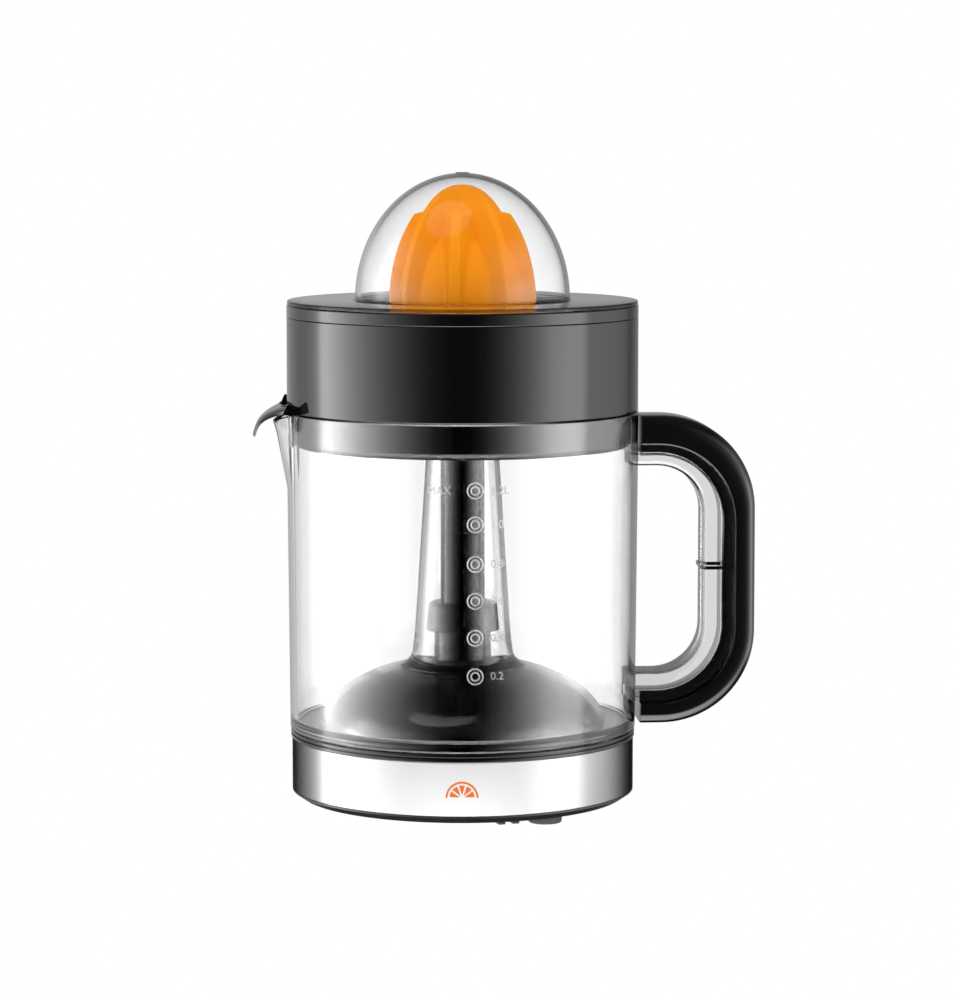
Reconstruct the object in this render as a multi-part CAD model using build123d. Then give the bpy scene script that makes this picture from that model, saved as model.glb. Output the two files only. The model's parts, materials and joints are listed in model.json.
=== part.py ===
from build123d import *
import os
from math import atan2, cos, degrees, radians, sin, sqrt

# Citrus press juicer, millimetres. Everything is drawn about the jug's own axis, with the worktop at z = 0,
# the handle towards +X, the spout towards -X and the capacity scale towards -Y. On writing, every piece
# moves by AXIS_X, so that the origin is the middle of the outline the juicer covers on the worktop.

# ---- overall ----
HANDLE_REACH = 117.3          # jug axis to the outside of the handle
SPOUT_REACH = 84.0            # jug axis to the tip of the spout flap
AXIS_X = (SPOUT_REACH - HANDLE_REACH) / 2
REST_GAP = 0.05               # gap where one loose piece rests on another
RUN_GAP = 0.3                 # gap between neighbours that move
FIT_GAP = 0.04                # radial running clearance of shafts and pins

# ---- base ----
FOOT_H = 3.4
FOOT_R = 6.8
FOOT_RING_R = 55.6
FOOT_ANGLES = (-58.3, 61.7, 181.7)
PLATE_BOTTOM = FOOT_H
PLATE_TOP = 6.5
BAND_R = 68.9
BAND_T = 0.9
BAND_BOTTOM = 6.7
BAND_TOP = 27.7
COLLAR_R = 69.4
COLLAR_TOP = 31.0
GROOVE_Z = 29.1
GROOVE_H = 0.6
SKIRT_T = 2.3
DOME_R = 55.3                 # outside of the black dome at the collar's top
DOME_H = 25.2
DOME_T = 2.3
BOSS_R = 11.2
BOSS_TOP = 76.4
SCREW_BOSS_RING_R = 60.6
SCREW_BOSS_ANGLES = (20, 110, 200, 290)
SCREW_BOSS_R = 4.4
SCREW_PILOT_R = 1.4
FOOT_STEM_R = 3.0
GLAND_RING_R = 50.0           # where the cord's gland sits in the bottom plate
GLAND_ANGLE = 97
GLAND_R = 4.2
SEAL_R = 8.0
SEAL_H = 2.0

# ---- jug ----
JUG_R_LOW = 69.6
JUG_R_TOP = 70.6
JUG_BOTTOM = COLLAR_TOP + REST_GAP
JUG_TOP = 159.0
JUG_T = 2.4
CLEAR_DOME_R = 58.0
CLEAR_DOME_H = 28.0
CLEAR_DOME_T = 2.1
COLUMN_R_LOW = 19.3
COLUMN_Z_LOW = 66.0
COLUMN_R_TOP = 14.1
COLUMN_TOP = 150.0
COLUMN_T = 2.0
SPOUT_TIP = 76.0
SPOUT_HALF_W = 24.0
SPOUT_FOOT_Z = 128.0
SPOUT_RIM_DROP = 3.6
MARK_HEIGHTS = (61.6, 76.6, 91.0, 105.3, 120.6, 133.7)
MARK_R = 3.3

# ---- handle ----
CORE_OUT_X = 108.8
CORE_LOW = 40.8
CORE_HIGH = 145.4
CORE_OUT_R = 31.0
GAP_OUT_X = 96.5
GAP_LOW = 53.1
GAP_HIGH = 136.8
GAP_R = 19.0
CORE_HALF_W = 10.0
TONGUE_IN_X = 103.5
TONGUE_LOW = 47.8
TONGUE_HIGH = 142.4
TONGUE_R = 26.0
TONGUE_HALF_W = 7.6
SHELL_LOW = 32.6
SHELL_HIGH = 157.0
SHELL_R = 37.5
SHELL_HALF_W = 13.0
CLIP_Z = 94.8
CLIP_H = 1.3
CLIP_T = 0.8

# ---- collector, strainer and cover ----
SPIGOT_R = 67.6
SPIGOT_BOTTOM = 145.0
BAND2_BOTTOM = JUG_TOP + 0.3
BAND2_TOP = 196.6
BAND2_R = 70.4
WALL = 2.2
SLEEVE_R = 14.6
TUBE_R = 11.4
TUBE_T = 1.6
TUBE_TOP = 181.0
STRAINER_TOP = 201.5
STRAINER_WALL_R = 66.2
SIEVE_Z_OUT = 184.6
SIEVE_Z_IN = 183.0
SIEVE_T = 1.6
HUB_R_IN = 12.0
COVER_R = 70.2
FLANGE_BOTTOM = STRAINER_TOP + REST_GAP
FLANGE_TOP = 203.2
COVER_DOME_R = 43.0
COVER_DOME_H = 50.6
COVER_T = 1.8

# ---- spout flap ----
HINGE_X = -70.6
HINGE_Z = 161.2
HINGE_PIN_R = 0.9
EAR_Y = 24.6
EAR_T = 1.6
FLAP_SWING = 55.0             # how far the flap turns up
FLAP_TIP_HALF_W = 4.2

# ---- drive ----
SHAFT_R = 4.0
SHAFT_FLAT = 3.2              # axis to the shaft's flats
GEAR_HUB_R = 6.0              # the hub that runs in the plates' bushes
BUSH_R = 7.5
SHAFT_BOTTOM = 20.7
SHAFT_TOP = 108.0
PRESS = 2.5
SKIRT_BOTTOM = 70.4
SKIRT_TOP = 81.3
SKIRT_R_LOW = 14.8
SKIRT_R_TOP = 13.8
SPINDLE_R = 8.9
SPINDLE_TOP = 109.4
HEX_AF = 11.0
HEX_TOP = 124.0
CONE_SHAFT_BOTTOM = 109.8
CONE_SEAT_Z = 190.0
CONE_HEX_AF = 13.0
CONE_HEX_TOP = 222.0
HUB_TOP = 185.1
HEX_GAP = 0.16                # across the flats of both hexagon sockets
RING_FLAT = 8.15              # axis to the flats that turn the slinger ring
RING_BOTTOM = HUB_TOP + 0.1
RING_TOP = 187.1
LOWER_PLATE = (29.6, 30.8)
UPPER_PLATE = (45.0, 46.2)
UPPER_PLATE_R = 33.5
LOWER_PLATE_R = 52.0
POST_RING_R = 48.6
POST_ANGLES = (150, 270, 345)
PILLAR_RING_R = 29.4
PILLAR_ANGLES = (155, 225, 335)
LEVEL_A = (31.4, 34.4)
LEVEL_B = (35.0, 38.6)
LEVEL_C = (39.2, 44.2)
TEETH_MOTOR, TEETH_1, MODULE_A = 12, 50, 0.6
TEETH_1P, TEETH_2, MODULE_B = 12, 40, 0.8
TEETH_2P, TEETH_D, MODULE_C = 14, 44, 1.0
IDLER_2 = (0.0, MODULE_C * (TEETH_2P + TEETH_D) / 2)
IDLER_1_DIR = -10.0
DIST_B = MODULE_B * (TEETH_1P + TEETH_2) / 2
IDLER_1 = (IDLER_2[0] + DIST_B * cos(radians(IDLER_1_DIR)), IDLER_2[1] + DIST_B * sin(radians(IDLER_1_DIR)))
MOTOR_DIR = -60.0
DIST_A = MODULE_A * (TEETH_MOTOR + TEETH_1) / 2
MOTOR = (IDLER_1[0] + DIST_A * cos(radians(MOTOR_DIR)), IDLER_1[1] + DIST_A * sin(radians(MOTOR_DIR)))
PIN_R = 1.5

# ---- motor ----
CORE_Z = (14.5, 25.0)
CORE_X = (MOTOR[0] - 17.5, MOTOR[0] + 17.5)
CORE_Y = (MOTOR[1] - 43.0, MOTOR[1] + 17.0)
LEG = 9.0                     # width of the core's legs
BORE_R = 11.8
AIR_GAP = 0.5
ROTOR_SHAFT_R = 1.25
BRACKET_Z = (9.6, 11.0)
MOTOR_SCREWS = [(MOTOR[0] + dx, MOTOR[1] + 11.0) for dx in (-14.0, 14.0)]
MOTOR_SCREW_R = 1.3

# ---- reamer cone ----
CONE_BOTTOM = 188.6
CONE_APEX = 249.1
CONE_R = 29.7
CONE_SHOULDER_Z = 200.0
RIDGE_T = 3.6
SHORT_RIDGE_TOP = 238.0
FLUTE_SHARE = 0.82            # core radius as a share of the ridge radius
CONE_T = 2.4
REAMER_TURN = -10.7           # angle of the first short ridge
SEAM_TURN = 22.5              # keeps the round faces' seams clear of the ridges

# ---- sieve: slots round the axis as count, inner radius, outer radius, width ----
SIEVE_SLOTS = ((36, 20.0, 34.0, 1.5), (60, 38.0, 60.0, 1.7))
DRAIN_SLOTS = 12
DRAIN_R = (21.0, 33.0)
DRAIN_HALF_W = 1.8

QUARTER = 0.5523              # how far a quarter ellipse's curve handles reach
LOW = (Align.CENTER, Align.CENTER, Align.MIN)


def disc(radius, bottom, top, x=0.0, y=0.0):
    """A plain cylinder between two heights."""
    return Pos(x, y, bottom) * Cylinder(radius, top - bottom, align=LOW)


def tube(outer, inner, bottom, top, x=0.0, y=0.0):
    """A plain ring between two heights."""
    return disc(outer, bottom, top, x, y) - disc(inner, bottom - 1, top + 1, x, y)


def block(x0, x1, y0, y1, z0, z1):
    """A box between two corners."""
    return Pos((x0 + x1) / 2, (y0 + y1) / 2, (z0 + z1) / 2) * Box(x1 - x0, y1 - y0, z1 - z0)


def spun(points):
    """A solid turned about Z from a closed outline of (radius, height) points."""
    outline = [(r, 0, z) for r, z in points]
    return revolve(make_face(Polyline(*outline, close=True)), Axis.Z)


def taper(r0, r1, z0, z1):
    """A solid cone stump between two heights."""
    return spun([(0, z0), (r0, z0), (r1, z1), (0, z1)])


def dome(radius, height, base):
    """The solid under a half ellipse that stands on z = base."""
    edge = Bezier((radius, 0), (radius, QUARTER * height), (QUARTER * radius, height), (0, height))
    outline = edge + Line((0, height), (0, 0)) + Line((0, 0), (radius, 0))
    return Pos(0, 0, base) * revolve(Plane.XZ * make_face(outline), Axis.Z)


def around(radius, angle):
    """The point at a radius and an angle about the axis."""
    return radius * cos(radians(angle)), radius * sin(radians(angle))


def ring_of(make, radius, angles):
    """The same solid made at several places round the axis."""
    return [make(*around(radius, angle)) for angle in angles]


def fused(solids):
    """One solid from a list of overlapping ones."""
    whole = solids[0]
    for solid in solids[1:]:
        whole += solid
    return whole


def screw(x, y, bottom, length, radius=1.4, head=2.6, head_h=1.6, up=True):
    """A pan-head screw whose shank starts at bottom and whose head is at the far end."""
    end = bottom + length if up else bottom - length
    cap = end + head_h if up else end - head_h
    shank = disc(radius, min(bottom, end), max(bottom, end), x, y)
    return shank + disc(head, min(end, cap), max(end, cap), x, y)


def hexagon(across_flats, bottom, top):
    """A six-sided bar on the axis."""
    sketch = RegularPolygon(across_flats / 2, 6, major_radius=False)
    return Pos(0, 0, bottom) * extrude(sketch, top - bottom)


# ---- base ----

def base_housing():
    """Skirt, collar, domed lid and the boss for the shaft, one moulding."""
    skirt_r = BAND_R - BAND_T - 0.05
    body = disc(skirt_r, PLATE_TOP + REST_GAP, BAND_TOP + 1)
    body += disc(COLLAR_R, BAND_TOP + REST_GAP, COLLAR_TOP)
    body -= tube(COLLAR_R + 1, COLLAR_R - 1.0, GROOVE_Z, GROOVE_Z + GROOVE_H)
    body -= disc(skirt_r - SKIRT_T, 0, COLLAR_TOP - SKIRT_T)
    rim = body.edges().filter_by(GeomType.CIRCLE).group_by(Axis.Z)[-1].sort_by(SortBy.RADIUS)[-1]
    body = chamfer(rim, 0.4)
    body += dome(DOME_R, DOME_H, COLLAR_TOP - 0.01)
    body += taper(BOSS_R + 5.0, BOSS_R + 0.4, COLLAR_TOP + DOME_H - 4, COLLAR_TOP + DOME_H + 3)
    body += disc(BOSS_R, COLLAR_TOP + DOME_H - 4, BOSS_TOP)
    body -= dome(DOME_R - DOME_T, DOME_H - DOME_T, COLLAR_TOP)
    body -= disc(DOME_R - DOME_T, COLLAR_TOP - SKIRT_T - 1, COLLAR_TOP + 0.01)
    body -= disc(8.5, COLLAR_TOP, 64.0)
    body -= disc(6.5, COLLAR_TOP, BOSS_TOP + 1)
    body -= disc(SEAL_R, BOSS_TOP - SEAL_H, BOSS_TOP + 1)
    top = COLLAR_TOP - SKIRT_T + 0.5
    for x, y in [around(SCREW_BOSS_RING_R, a) for a in SCREW_BOSS_ANGLES]:
        body += disc(SCREW_BOSS_R, PLATE_TOP + REST_GAP, top, x, y)
        body -= disc(SCREW_PILOT_R, 0, 20.0, x, y)
    for x, y in [around(POST_RING_R, a) for a in POST_ANGLES]:
        body += disc(3.2, LOWER_PLATE[1], 42.0, x, y) & dome(DOME_R - 0.5, DOME_H - 0.5, COLLAR_TOP)
        body += disc(3.2, LOWER_PLATE[1], COLLAR_TOP + 1, x, y)
        body -= disc(1.2, LOWER_PLATE[1] - 1, 37.0, x, y)
    return body


def steel_band():
    """Brushed steel sleeve round the skirt."""
    return tube(BAND_R, BAND_R - BAND_T, BAND_BOTTOM, BAND_TOP)


def bottom_plate():
    """Dished floor of the base with its screw holes, switch cheeks and cord recess."""
    plate = disc(65.2, PLATE_BOTTOM, PLATE_TOP) + taper(65.2, BAND_R, PLATE_BOTTOM, PLATE_TOP - 0.6)
    plate += disc(BAND_R, PLATE_TOP - 0.6, PLATE_TOP)
    plate -= tube(44.0, 30.0, PLATE_BOTTOM - 1, PLATE_BOTTOM + 1.2)
    for y in (-5.0, 5.0):
        plate += block(-10, 10, y - 1.5, y + 1.5, PLATE_TOP - 0.5, 15.0)
    for x, y in [around(SCREW_BOSS_RING_R, a) for a in SCREW_BOSS_ANGLES]:
        plate -= disc(1.5, 0, 20, x, y) + disc(2.9, 0, PLATE_BOTTOM + 1.9, x, y)
    for x, y in [around(FOOT_RING_R, a) for a in FOOT_ANGLES]:
        plate -= disc(FOOT_STEM_R, 0, 20, x, y)
    plate -= disc(GLAND_R, 0, 20, *around(GLAND_RING_R, GLAND_ANGLE))
    return plate


def rubber_feet():
    """Three round feet pushed into the bottom plate by their stems."""
    def foot(x, y):
        pad = Pos(x, y, 0) * fillet(Cylinder(FOOT_R, FOOT_H, align=LOW).edges().group_by(Axis.Z)[0], 0.8)
        return pad + disc(FOOT_STEM_R, FOOT_H, PLATE_TOP + 1.5, x, y)
    return ring_of(foot, FOOT_RING_R, FOOT_ANGLES)


def cord_clip():
    """Small block under the front edge that would hold the wound cord."""
    clip = block(-4.2, 4.2, -57.5, -51.5, 0.9, PLATE_BOTTOM) - block(-1.6, 1.6, -58, -51, 0.4, 2.2)
    return Rot(0, 0, 14.5) * clip


def cord_gland():
    """Rubber bush where a cord would enter the base."""
    x, y = around(GLAND_RING_R, GLAND_ANGLE)
    bush = disc(GLAND_R + 1.6, 1.6, PLATE_BOTTOM, x, y) + disc(GLAND_R, PLATE_BOTTOM, 12.0, x, y)
    return bush - disc(3.1, 0, 20, x, y)


def base_screws():
    """Screws of the bottom plate."""
    return [screw(x, y, 18.0, 12.7, radius=SCREW_PILOT_R, head=2.8, up=False)
            for x, y in [around(SCREW_BOSS_RING_R, a) for a in SCREW_BOSS_ANGLES]]


# ---- gearbox ----

def lower_plate():
    """Steel plate that carries the pins, the motor and the shaft's lower bush."""
    plate = disc(LOWER_PLATE_R, *LOWER_PLATE)
    plate -= disc(BUSH_R, 0, 60)
    plate -= disc(2.6, 0, 60, *MOTOR)
    for x, y in [around(POST_RING_R, a) for a in POST_ANGLES]:
        plate -= disc(1.5, 0, 60, x, y)
    plate -= disc(PIN_R, 0, 60, *IDLER_1) + disc(PIN_R, 0, 60, *IDLER_2)
    plate -= disc(9.0, 0, 60, -32, -8)
    for x, y in MOTOR_SCREWS:
        plate -= disc(MOTOR_SCREW_R, 0, 60, x, y)
    return plate


def upper_plate():
    """Smaller steel plate above the gears."""
    plate = disc(UPPER_PLATE_R, *UPPER_PLATE) - disc(BUSH_R, 0, 60) - disc(PIN_R, 0, 60, *IDLER_2)
    for x, y in [around(PILLAR_RING_R, a) for a in PILLAR_ANGLES]:
        plate -= disc(1.2, 0, 60, x, y)
    return plate


def plate_pillars():
    """Three spacers between the plates."""
    def pillar(x, y):
        return tube(2.6, 1.0, LOWER_PLATE[1], UPPER_PLATE[0], x, y)
    return ring_of(pillar, PILLAR_RING_R, PILLAR_ANGLES)


def gearbox_screws():
    """Screws that hold the plates, three at the top and three underneath."""
    top = [screw(x, y, UPPER_PLATE[0] - 6, 7.2, radius=1.0, head=2.2, head_h=1.0)
           for x, y in [around(PILLAR_RING_R, a) for a in PILLAR_ANGLES]]
    under = [screw(x, y, 36.5, 6.9, radius=1.2, head=2.4, head_h=1.2, up=False)
             for x, y in [around(POST_RING_R, a) for a in POST_ANGLES]]
    return top + under


def gear_pin(centre, top):
    """Steel pin that an idler turns on."""
    return disc(PIN_R, LOWER_PLATE[0], top, *centre)


def shaft_bushes():
    """Bronze bushes of the drive gear's hub in the two plates, and of the shaft in the boss."""
    hub = GEAR_HUB_R + FIT_GAP
    in_boss = tube(6.5, SHAFT_R + FIT_GAP, 64.0, BOSS_TOP - SEAL_H)
    return [tube(BUSH_R, hub, *LOWER_PLATE), tube(BUSH_R, hub, *UPPER_PLATE), in_boss]


def shaft_seal():
    """Rubber lip seal at the top of the boss."""
    return tube(SEAL_R, SHAFT_R + 0.06, BOSS_TOP - SEAL_H, BOSS_TOP)


def toothed(teeth, module, bottom, top, turn):
    """A spur gear on the axis with straight-flanked teeth, one of them centred on the angle turn."""
    pitch_r = module * teeth / 2
    tip_r = pitch_r + 0.92 * module
    root_r = pitch_r - 1.15 * module
    step = 360 / teeth
    wheel = disc(root_r + 0.05, bottom, top)
    half_root, half_tip = 0.29 * step, 0.11 * step
    flank = [(root_r - 0.2, -half_root), (pitch_r, -0.21 * step), (tip_r, -half_tip)]
    flank += [(tip_r, half_tip), (pitch_r, 0.21 * step), (root_r - 0.2, half_root)]
    outline = Polyline(*[around(r, a) for r, a in flank], close=True)
    tooth = Pos(0, 0, bottom) * extrude(make_face(outline), top - bottom)
    return wheel + [Rot(0, 0, turn + i * step) * tooth for i in range(teeth)]


def heading(start, end):
    """Angle of the line from one axis to another, in degrees."""
    return degrees(atan2(end[1] - start[1], end[0] - start[0]))


def drive_gear():
    """Large gear on the shaft, with a long hub that the shaft slides in."""
    hub = disc(GEAR_HUB_R + 1.8, LOWER_PLATE[1] + RUN_GAP, UPPER_PLATE[0] - RUN_GAP)
    hub += disc(GEAR_HUB_R, LOWER_PLATE[0] - 0.6, UPPER_PLATE[1] + 0.6)
    wheel = toothed(TEETH_D, MODULE_C, *LEVEL_C, heading((0, 0), IDLER_2)) + hub
    for i in range(6):
        wheel -= disc(3.6, 30, 50, *around(14.0, 60 * i))
    flat = SHAFT_FLAT + 0.05
    bore = disc(SHAFT_R + FIT_GAP, 0, 80) & block(-flat, flat, -6, 6, 0, 80)
    return wheel - bore


def idler_gear_2():
    """Second idler: 40 teeth below, 14 above."""
    wheel = toothed(TEETH_2, MODULE_B, *LEVEL_B, heading(IDLER_2, IDLER_1))
    small_turn = heading(IDLER_2, (0, 0)) + 180 / TEETH_2P
    wheel += toothed(TEETH_2P, MODULE_C, LEVEL_B[1] - 0.2, LEVEL_C[1], small_turn)
    wheel += disc(4.0, LOWER_PLATE[1] + RUN_GAP, LEVEL_B[0] + 1)
    return Pos(*IDLER_2) * wheel - disc(PIN_R + FIT_GAP, 0, 80, *IDLER_2)


def idler_gear_1():
    """First idler: 50 teeth below, 12 above."""
    wheel = toothed(TEETH_1, MODULE_A, *LEVEL_A, heading(IDLER_1, MOTOR))
    small_turn = heading(IDLER_1, IDLER_2) + 180 / TEETH_1P
    wheel += toothed(TEETH_1P, MODULE_B, LEVEL_A[1] - 0.2, LEVEL_B[1], small_turn)
    return Pos(*IDLER_1) * wheel - disc(PIN_R + FIT_GAP, 0, 80, *IDLER_1)


def motor_pinion():
    """Brass pinion pressed on the rotor's shaft."""
    turn = heading(MOTOR, IDLER_1) + 180 / TEETH_MOTOR
    pinion = Pos(*MOTOR) * toothed(TEETH_MOTOR, MODULE_A, LEVEL_A[0], LEVEL_A[1] + 0.4, turn)
    return pinion - disc(ROTOR_SHAFT_R, 0, 80, *MOTOR)


# ---- motor ----

def motor_core():
    """Stack of laminations with the rotor's bore at one end and a leg for the coil at the other."""
    core = block(*CORE_X, *CORE_Y, *CORE_Z) - disc(BORE_R, 0, 60, *MOTOR)
    core -= block(CORE_X[0] + LEG, CORE_X[1] - LEG, CORE_Y[0] + LEG, MOTOR[1] - 15.5, 0, 60)
    core -= block(MOTOR[0] - 1.2, MOTOR[0] + 1.2, MOTOR[1] - 16, MOTOR[1] - 10, 0, 60)
    for x, y in MOTOR_SCREWS:
        core -= disc(MOTOR_SCREW_R, 0, 60, x, y)
    return core


def coil_box(pad, inset):
    """The block round the core's far leg, pad millimetres outside it and inset from the side legs."""
    x0, x1 = CORE_X[0] + LEG + inset, CORE_X[1] - LEG - inset
    return block(x0, x1, CORE_Y[0] - pad, CORE_Y[0] + LEG + pad, CORE_Z[0] - pad, CORE_Z[1] + pad)


def coil_bobbin():
    """Moulded bobbin with a flange at each end."""
    bobbin = coil_box(3.5, 0.1) - coil_box(6, 1.3) + coil_box(1.0, 0.1)
    return bobbin - coil_box(0.1, -LEG)


def coil_winding():
    """Copper winding on the bobbin."""
    return fillet(coil_box(3.0, 1.35).edges().filter_by(Axis.X), 2.0) - coil_box(1.0, 0.1)


def motor_bracket():
    """Strip that carries the lower end of the rotor."""
    strip = block(*CORE_X, MOTOR[1] - 5, MOTOR[1] + 16, *BRACKET_Z)
    for x, y in MOTOR_SCREWS:
        strip += disc(3.0, BRACKET_Z[0], CORE_Z[0], x, y)
        strip -= disc(MOTOR_SCREW_R, 0, 60, x, y)
    return strip - disc(3.0, 0, 60, *MOTOR)


def rotor_bushes():
    """Bronze bushes of the rotor's shaft."""
    bore = ROTOR_SHAFT_R + FIT_GAP
    lower = tube(3.0, bore, BRACKET_Z[0], 12.0, *MOTOR)
    upper = tube(2.6, bore, 27.6, LOWER_PLATE[1], *MOTOR)
    return [lower, upper]


def motor_screws():
    """Two long screws through the bracket and the core."""
    length = LOWER_PLATE[1] - BRACKET_Z[0]
    return [screw(x, y, LOWER_PLATE[1], length, radius=MOTOR_SCREW_R, head=2.3, head_h=1.2, up=False)
            for x, y in MOTOR_SCREWS]


def motor_rotor():
    """Rotor with its shaft."""
    body = disc(BORE_R - AIR_GAP, 12.6, 26.6, *MOTOR)
    return body + disc(ROTOR_SHAFT_R, 8.6, LEVEL_A[1] + 0.4, *MOTOR)


# ---- switch and wiring ----

def push_switch():
    """Body of the switch that the shaft closes when the cone is pressed."""
    body = block(-9.5, 9.5, -3.4, 3.4, 8.2, 17.4) - disc(1.6, 10.0, 30)
    for x in (-7, 0, 7):
        body += block(x - 0.4, x + 0.4, -1.6, 1.6, PLATE_TOP + 0.3, 8.2)
    return body


def switch_plunger():
    """Pin of the switch."""
    return disc(1.5, 13.2, 20.4) + disc(3.0, 20.1, 20.5)


def terminal_block():
    """Connector strip for the leads, with three clamp holes."""
    strip = block(-38, -20, 8, 18, PLATE_TOP, 15)
    for x in (-34.5, -29, -23.5):
        strip -= disc(1.6, 9, 20, x, 13)
    return strip


def lead(points, radius=0.8):
    """A short insulated lead along rounded corners."""
    path = FilletPolyline(*points, radius=3.0)
    return sweep(Plane(origin=path @ 0, z_dir=path % 0) * Circle(radius), path)


def inner_leads():
    """Leads from the gland to the terminals and on to the switch and the coil."""
    gx, gy = around(GLAND_RING_R, GLAND_ANGLE)
    runs = [
        [(gx - 1, gy, 12.3), (gx - 1, gy, 20), (-29, 24, 20), (-29, 13, 20), (-29, 13, 9.2)],
        [(-34.5, 13, 9.2), (-34.5, 13, 19), (-34.5, -12, 19), (-16, -12, 12), (-16, 0, 12), (-9.6, 0, 12)],
        [(-23.5, 13, 9.2), (-23.5, 13, 23), (-23.5, -24, 23), (10, -36, 23), (19.5, -36, 23)],
    ]
    return [lead(points) for points in runs]


# ---- spindle ----

def output_shaft():
    """Steel shaft with flats where it slides in the drive gear."""
    shaft = disc(SHAFT_R, SHAFT_BOTTOM, SHAFT_TOP)
    for x0, x1 in ((SHAFT_FLAT, 6), (-6, -SHAFT_FLAT)):
        shaft -= block(x0, x1, -6, 6, 24.0, 60.0)
    return chamfer(shaft.edges().group_by(Axis.Z)[0], 0.5)


def spring_collar():
    """Ring on the shaft that the spring pushes up against."""
    return tube(6.9, SHAFT_R, 60.0, 61.2)


def retaining_clip():
    """Clip under the drive gear's hub that stops the shaft at its upper end."""
    ring = tube(7.0, SHAFT_R - 0.8, 27.8, 28.8) - block(-2.2, 2.2, 0, 9, 20, 40)
    return ring - disc(SHAFT_R, 20, 40) & disc(8, 20, 40)


def press_spring():
    """Coil spring between the drive gear's hub and the spring collar."""
    bottom, top, wire, radius = UPPER_PLATE[1] + 0.7, 59.9, 0.5, 5.6
    path = Helix(pitch=2.9, height=top - bottom - 2 * wire, radius=radius)
    coil = sweep(Plane(origin=path @ 0, z_dir=path % 0) * Circle(wire), path, is_frenet=True)
    return Pos(0, 0, bottom + wire) * coil


def drive_spindle():
    """Dark moulding on the shaft: a skirt over the boss, a stem and a hexagon that drives the cone shaft."""
    body = taper(SKIRT_R_LOW, SKIRT_R_TOP, SKIRT_BOTTOM, SKIRT_TOP)
    body += disc(SPINDLE_R, SKIRT_TOP - 1, SPINDLE_TOP)
    body += hexagon(HEX_AF, SPINDLE_TOP - 1, HEX_TOP)
    body -= disc(BOSS_R + 1.2, SKIRT_BOTTOM - 1, BOSS_TOP + PRESS + 0.4)
    shaft = disc(SHAFT_R, SKIRT_BOTTOM, SHAFT_TOP)
    return body - shaft


# ---- jug ----

def jug_radius(z):
    """Outer radius of the jug's wall at a height."""
    return JUG_R_LOW + (JUG_R_TOP - JUG_R_LOW) * (z - COLLAR_TOP) / (JUG_TOP - COLLAR_TOP)


def handle_face(x_out, low, high, corner):
    """Outline of the handle seen from the side, from inside the wall to x_out."""
    x_in = 60.0
    face = Pos((x_in + x_out) / 2, (low + high) / 2) * Rectangle(x_out - x_in, high - low)
    return fillet(face.vertices().group_by(Axis.X)[-1], corner)


def handle_slab(x_out, low, high, corner, half_w):
    """The same outline as a slab across Y."""
    return extrude(Plane.XZ * handle_face(x_out, low, high, corner), half_w, both=True)


def spout_wedge(shrink):
    """Pouring spout as a solid, grown from the wall; shrink makes its inside."""
    def section(z, tip, half_w, corner):
        x_tip = -(tip - shrink)
        half = [(-55, half_w), (-62, half_w)]
        outline = Polyline(*half, (x_tip, 0), *[(x, -y) for x, y in reversed(half)], close=True)
        face = make_face(outline)
        return Pos(0, 0, z) * fillet(face.vertices().sort_by(Axis.X)[0], corner)
    low = section(SPOUT_FOOT_Z - shrink, 69.8, 9.0 - shrink, 3.0)
    high = section(JUG_TOP + 1.0, SPOUT_TIP + 2.8, SPOUT_HALF_W - shrink, 3.0)
    return loft([low, high])


def capacity_marks():
    """Raised double rings on the front of the wall."""
    rings = []
    for z in MARK_HEIGHTS:
        centre = Plane(origin=(0, -jug_radius(z) - 0.35, z), z_dir=(0, 1, 0))
        outer = extrude(centre * (Circle(MARK_R) - Circle(MARK_R - 0.5)), 1.2)
        inner = extrude(centre * (Circle(1.5) - Circle(1.0)), 1.2)
        rings += [outer, inner]
    return rings


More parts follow.
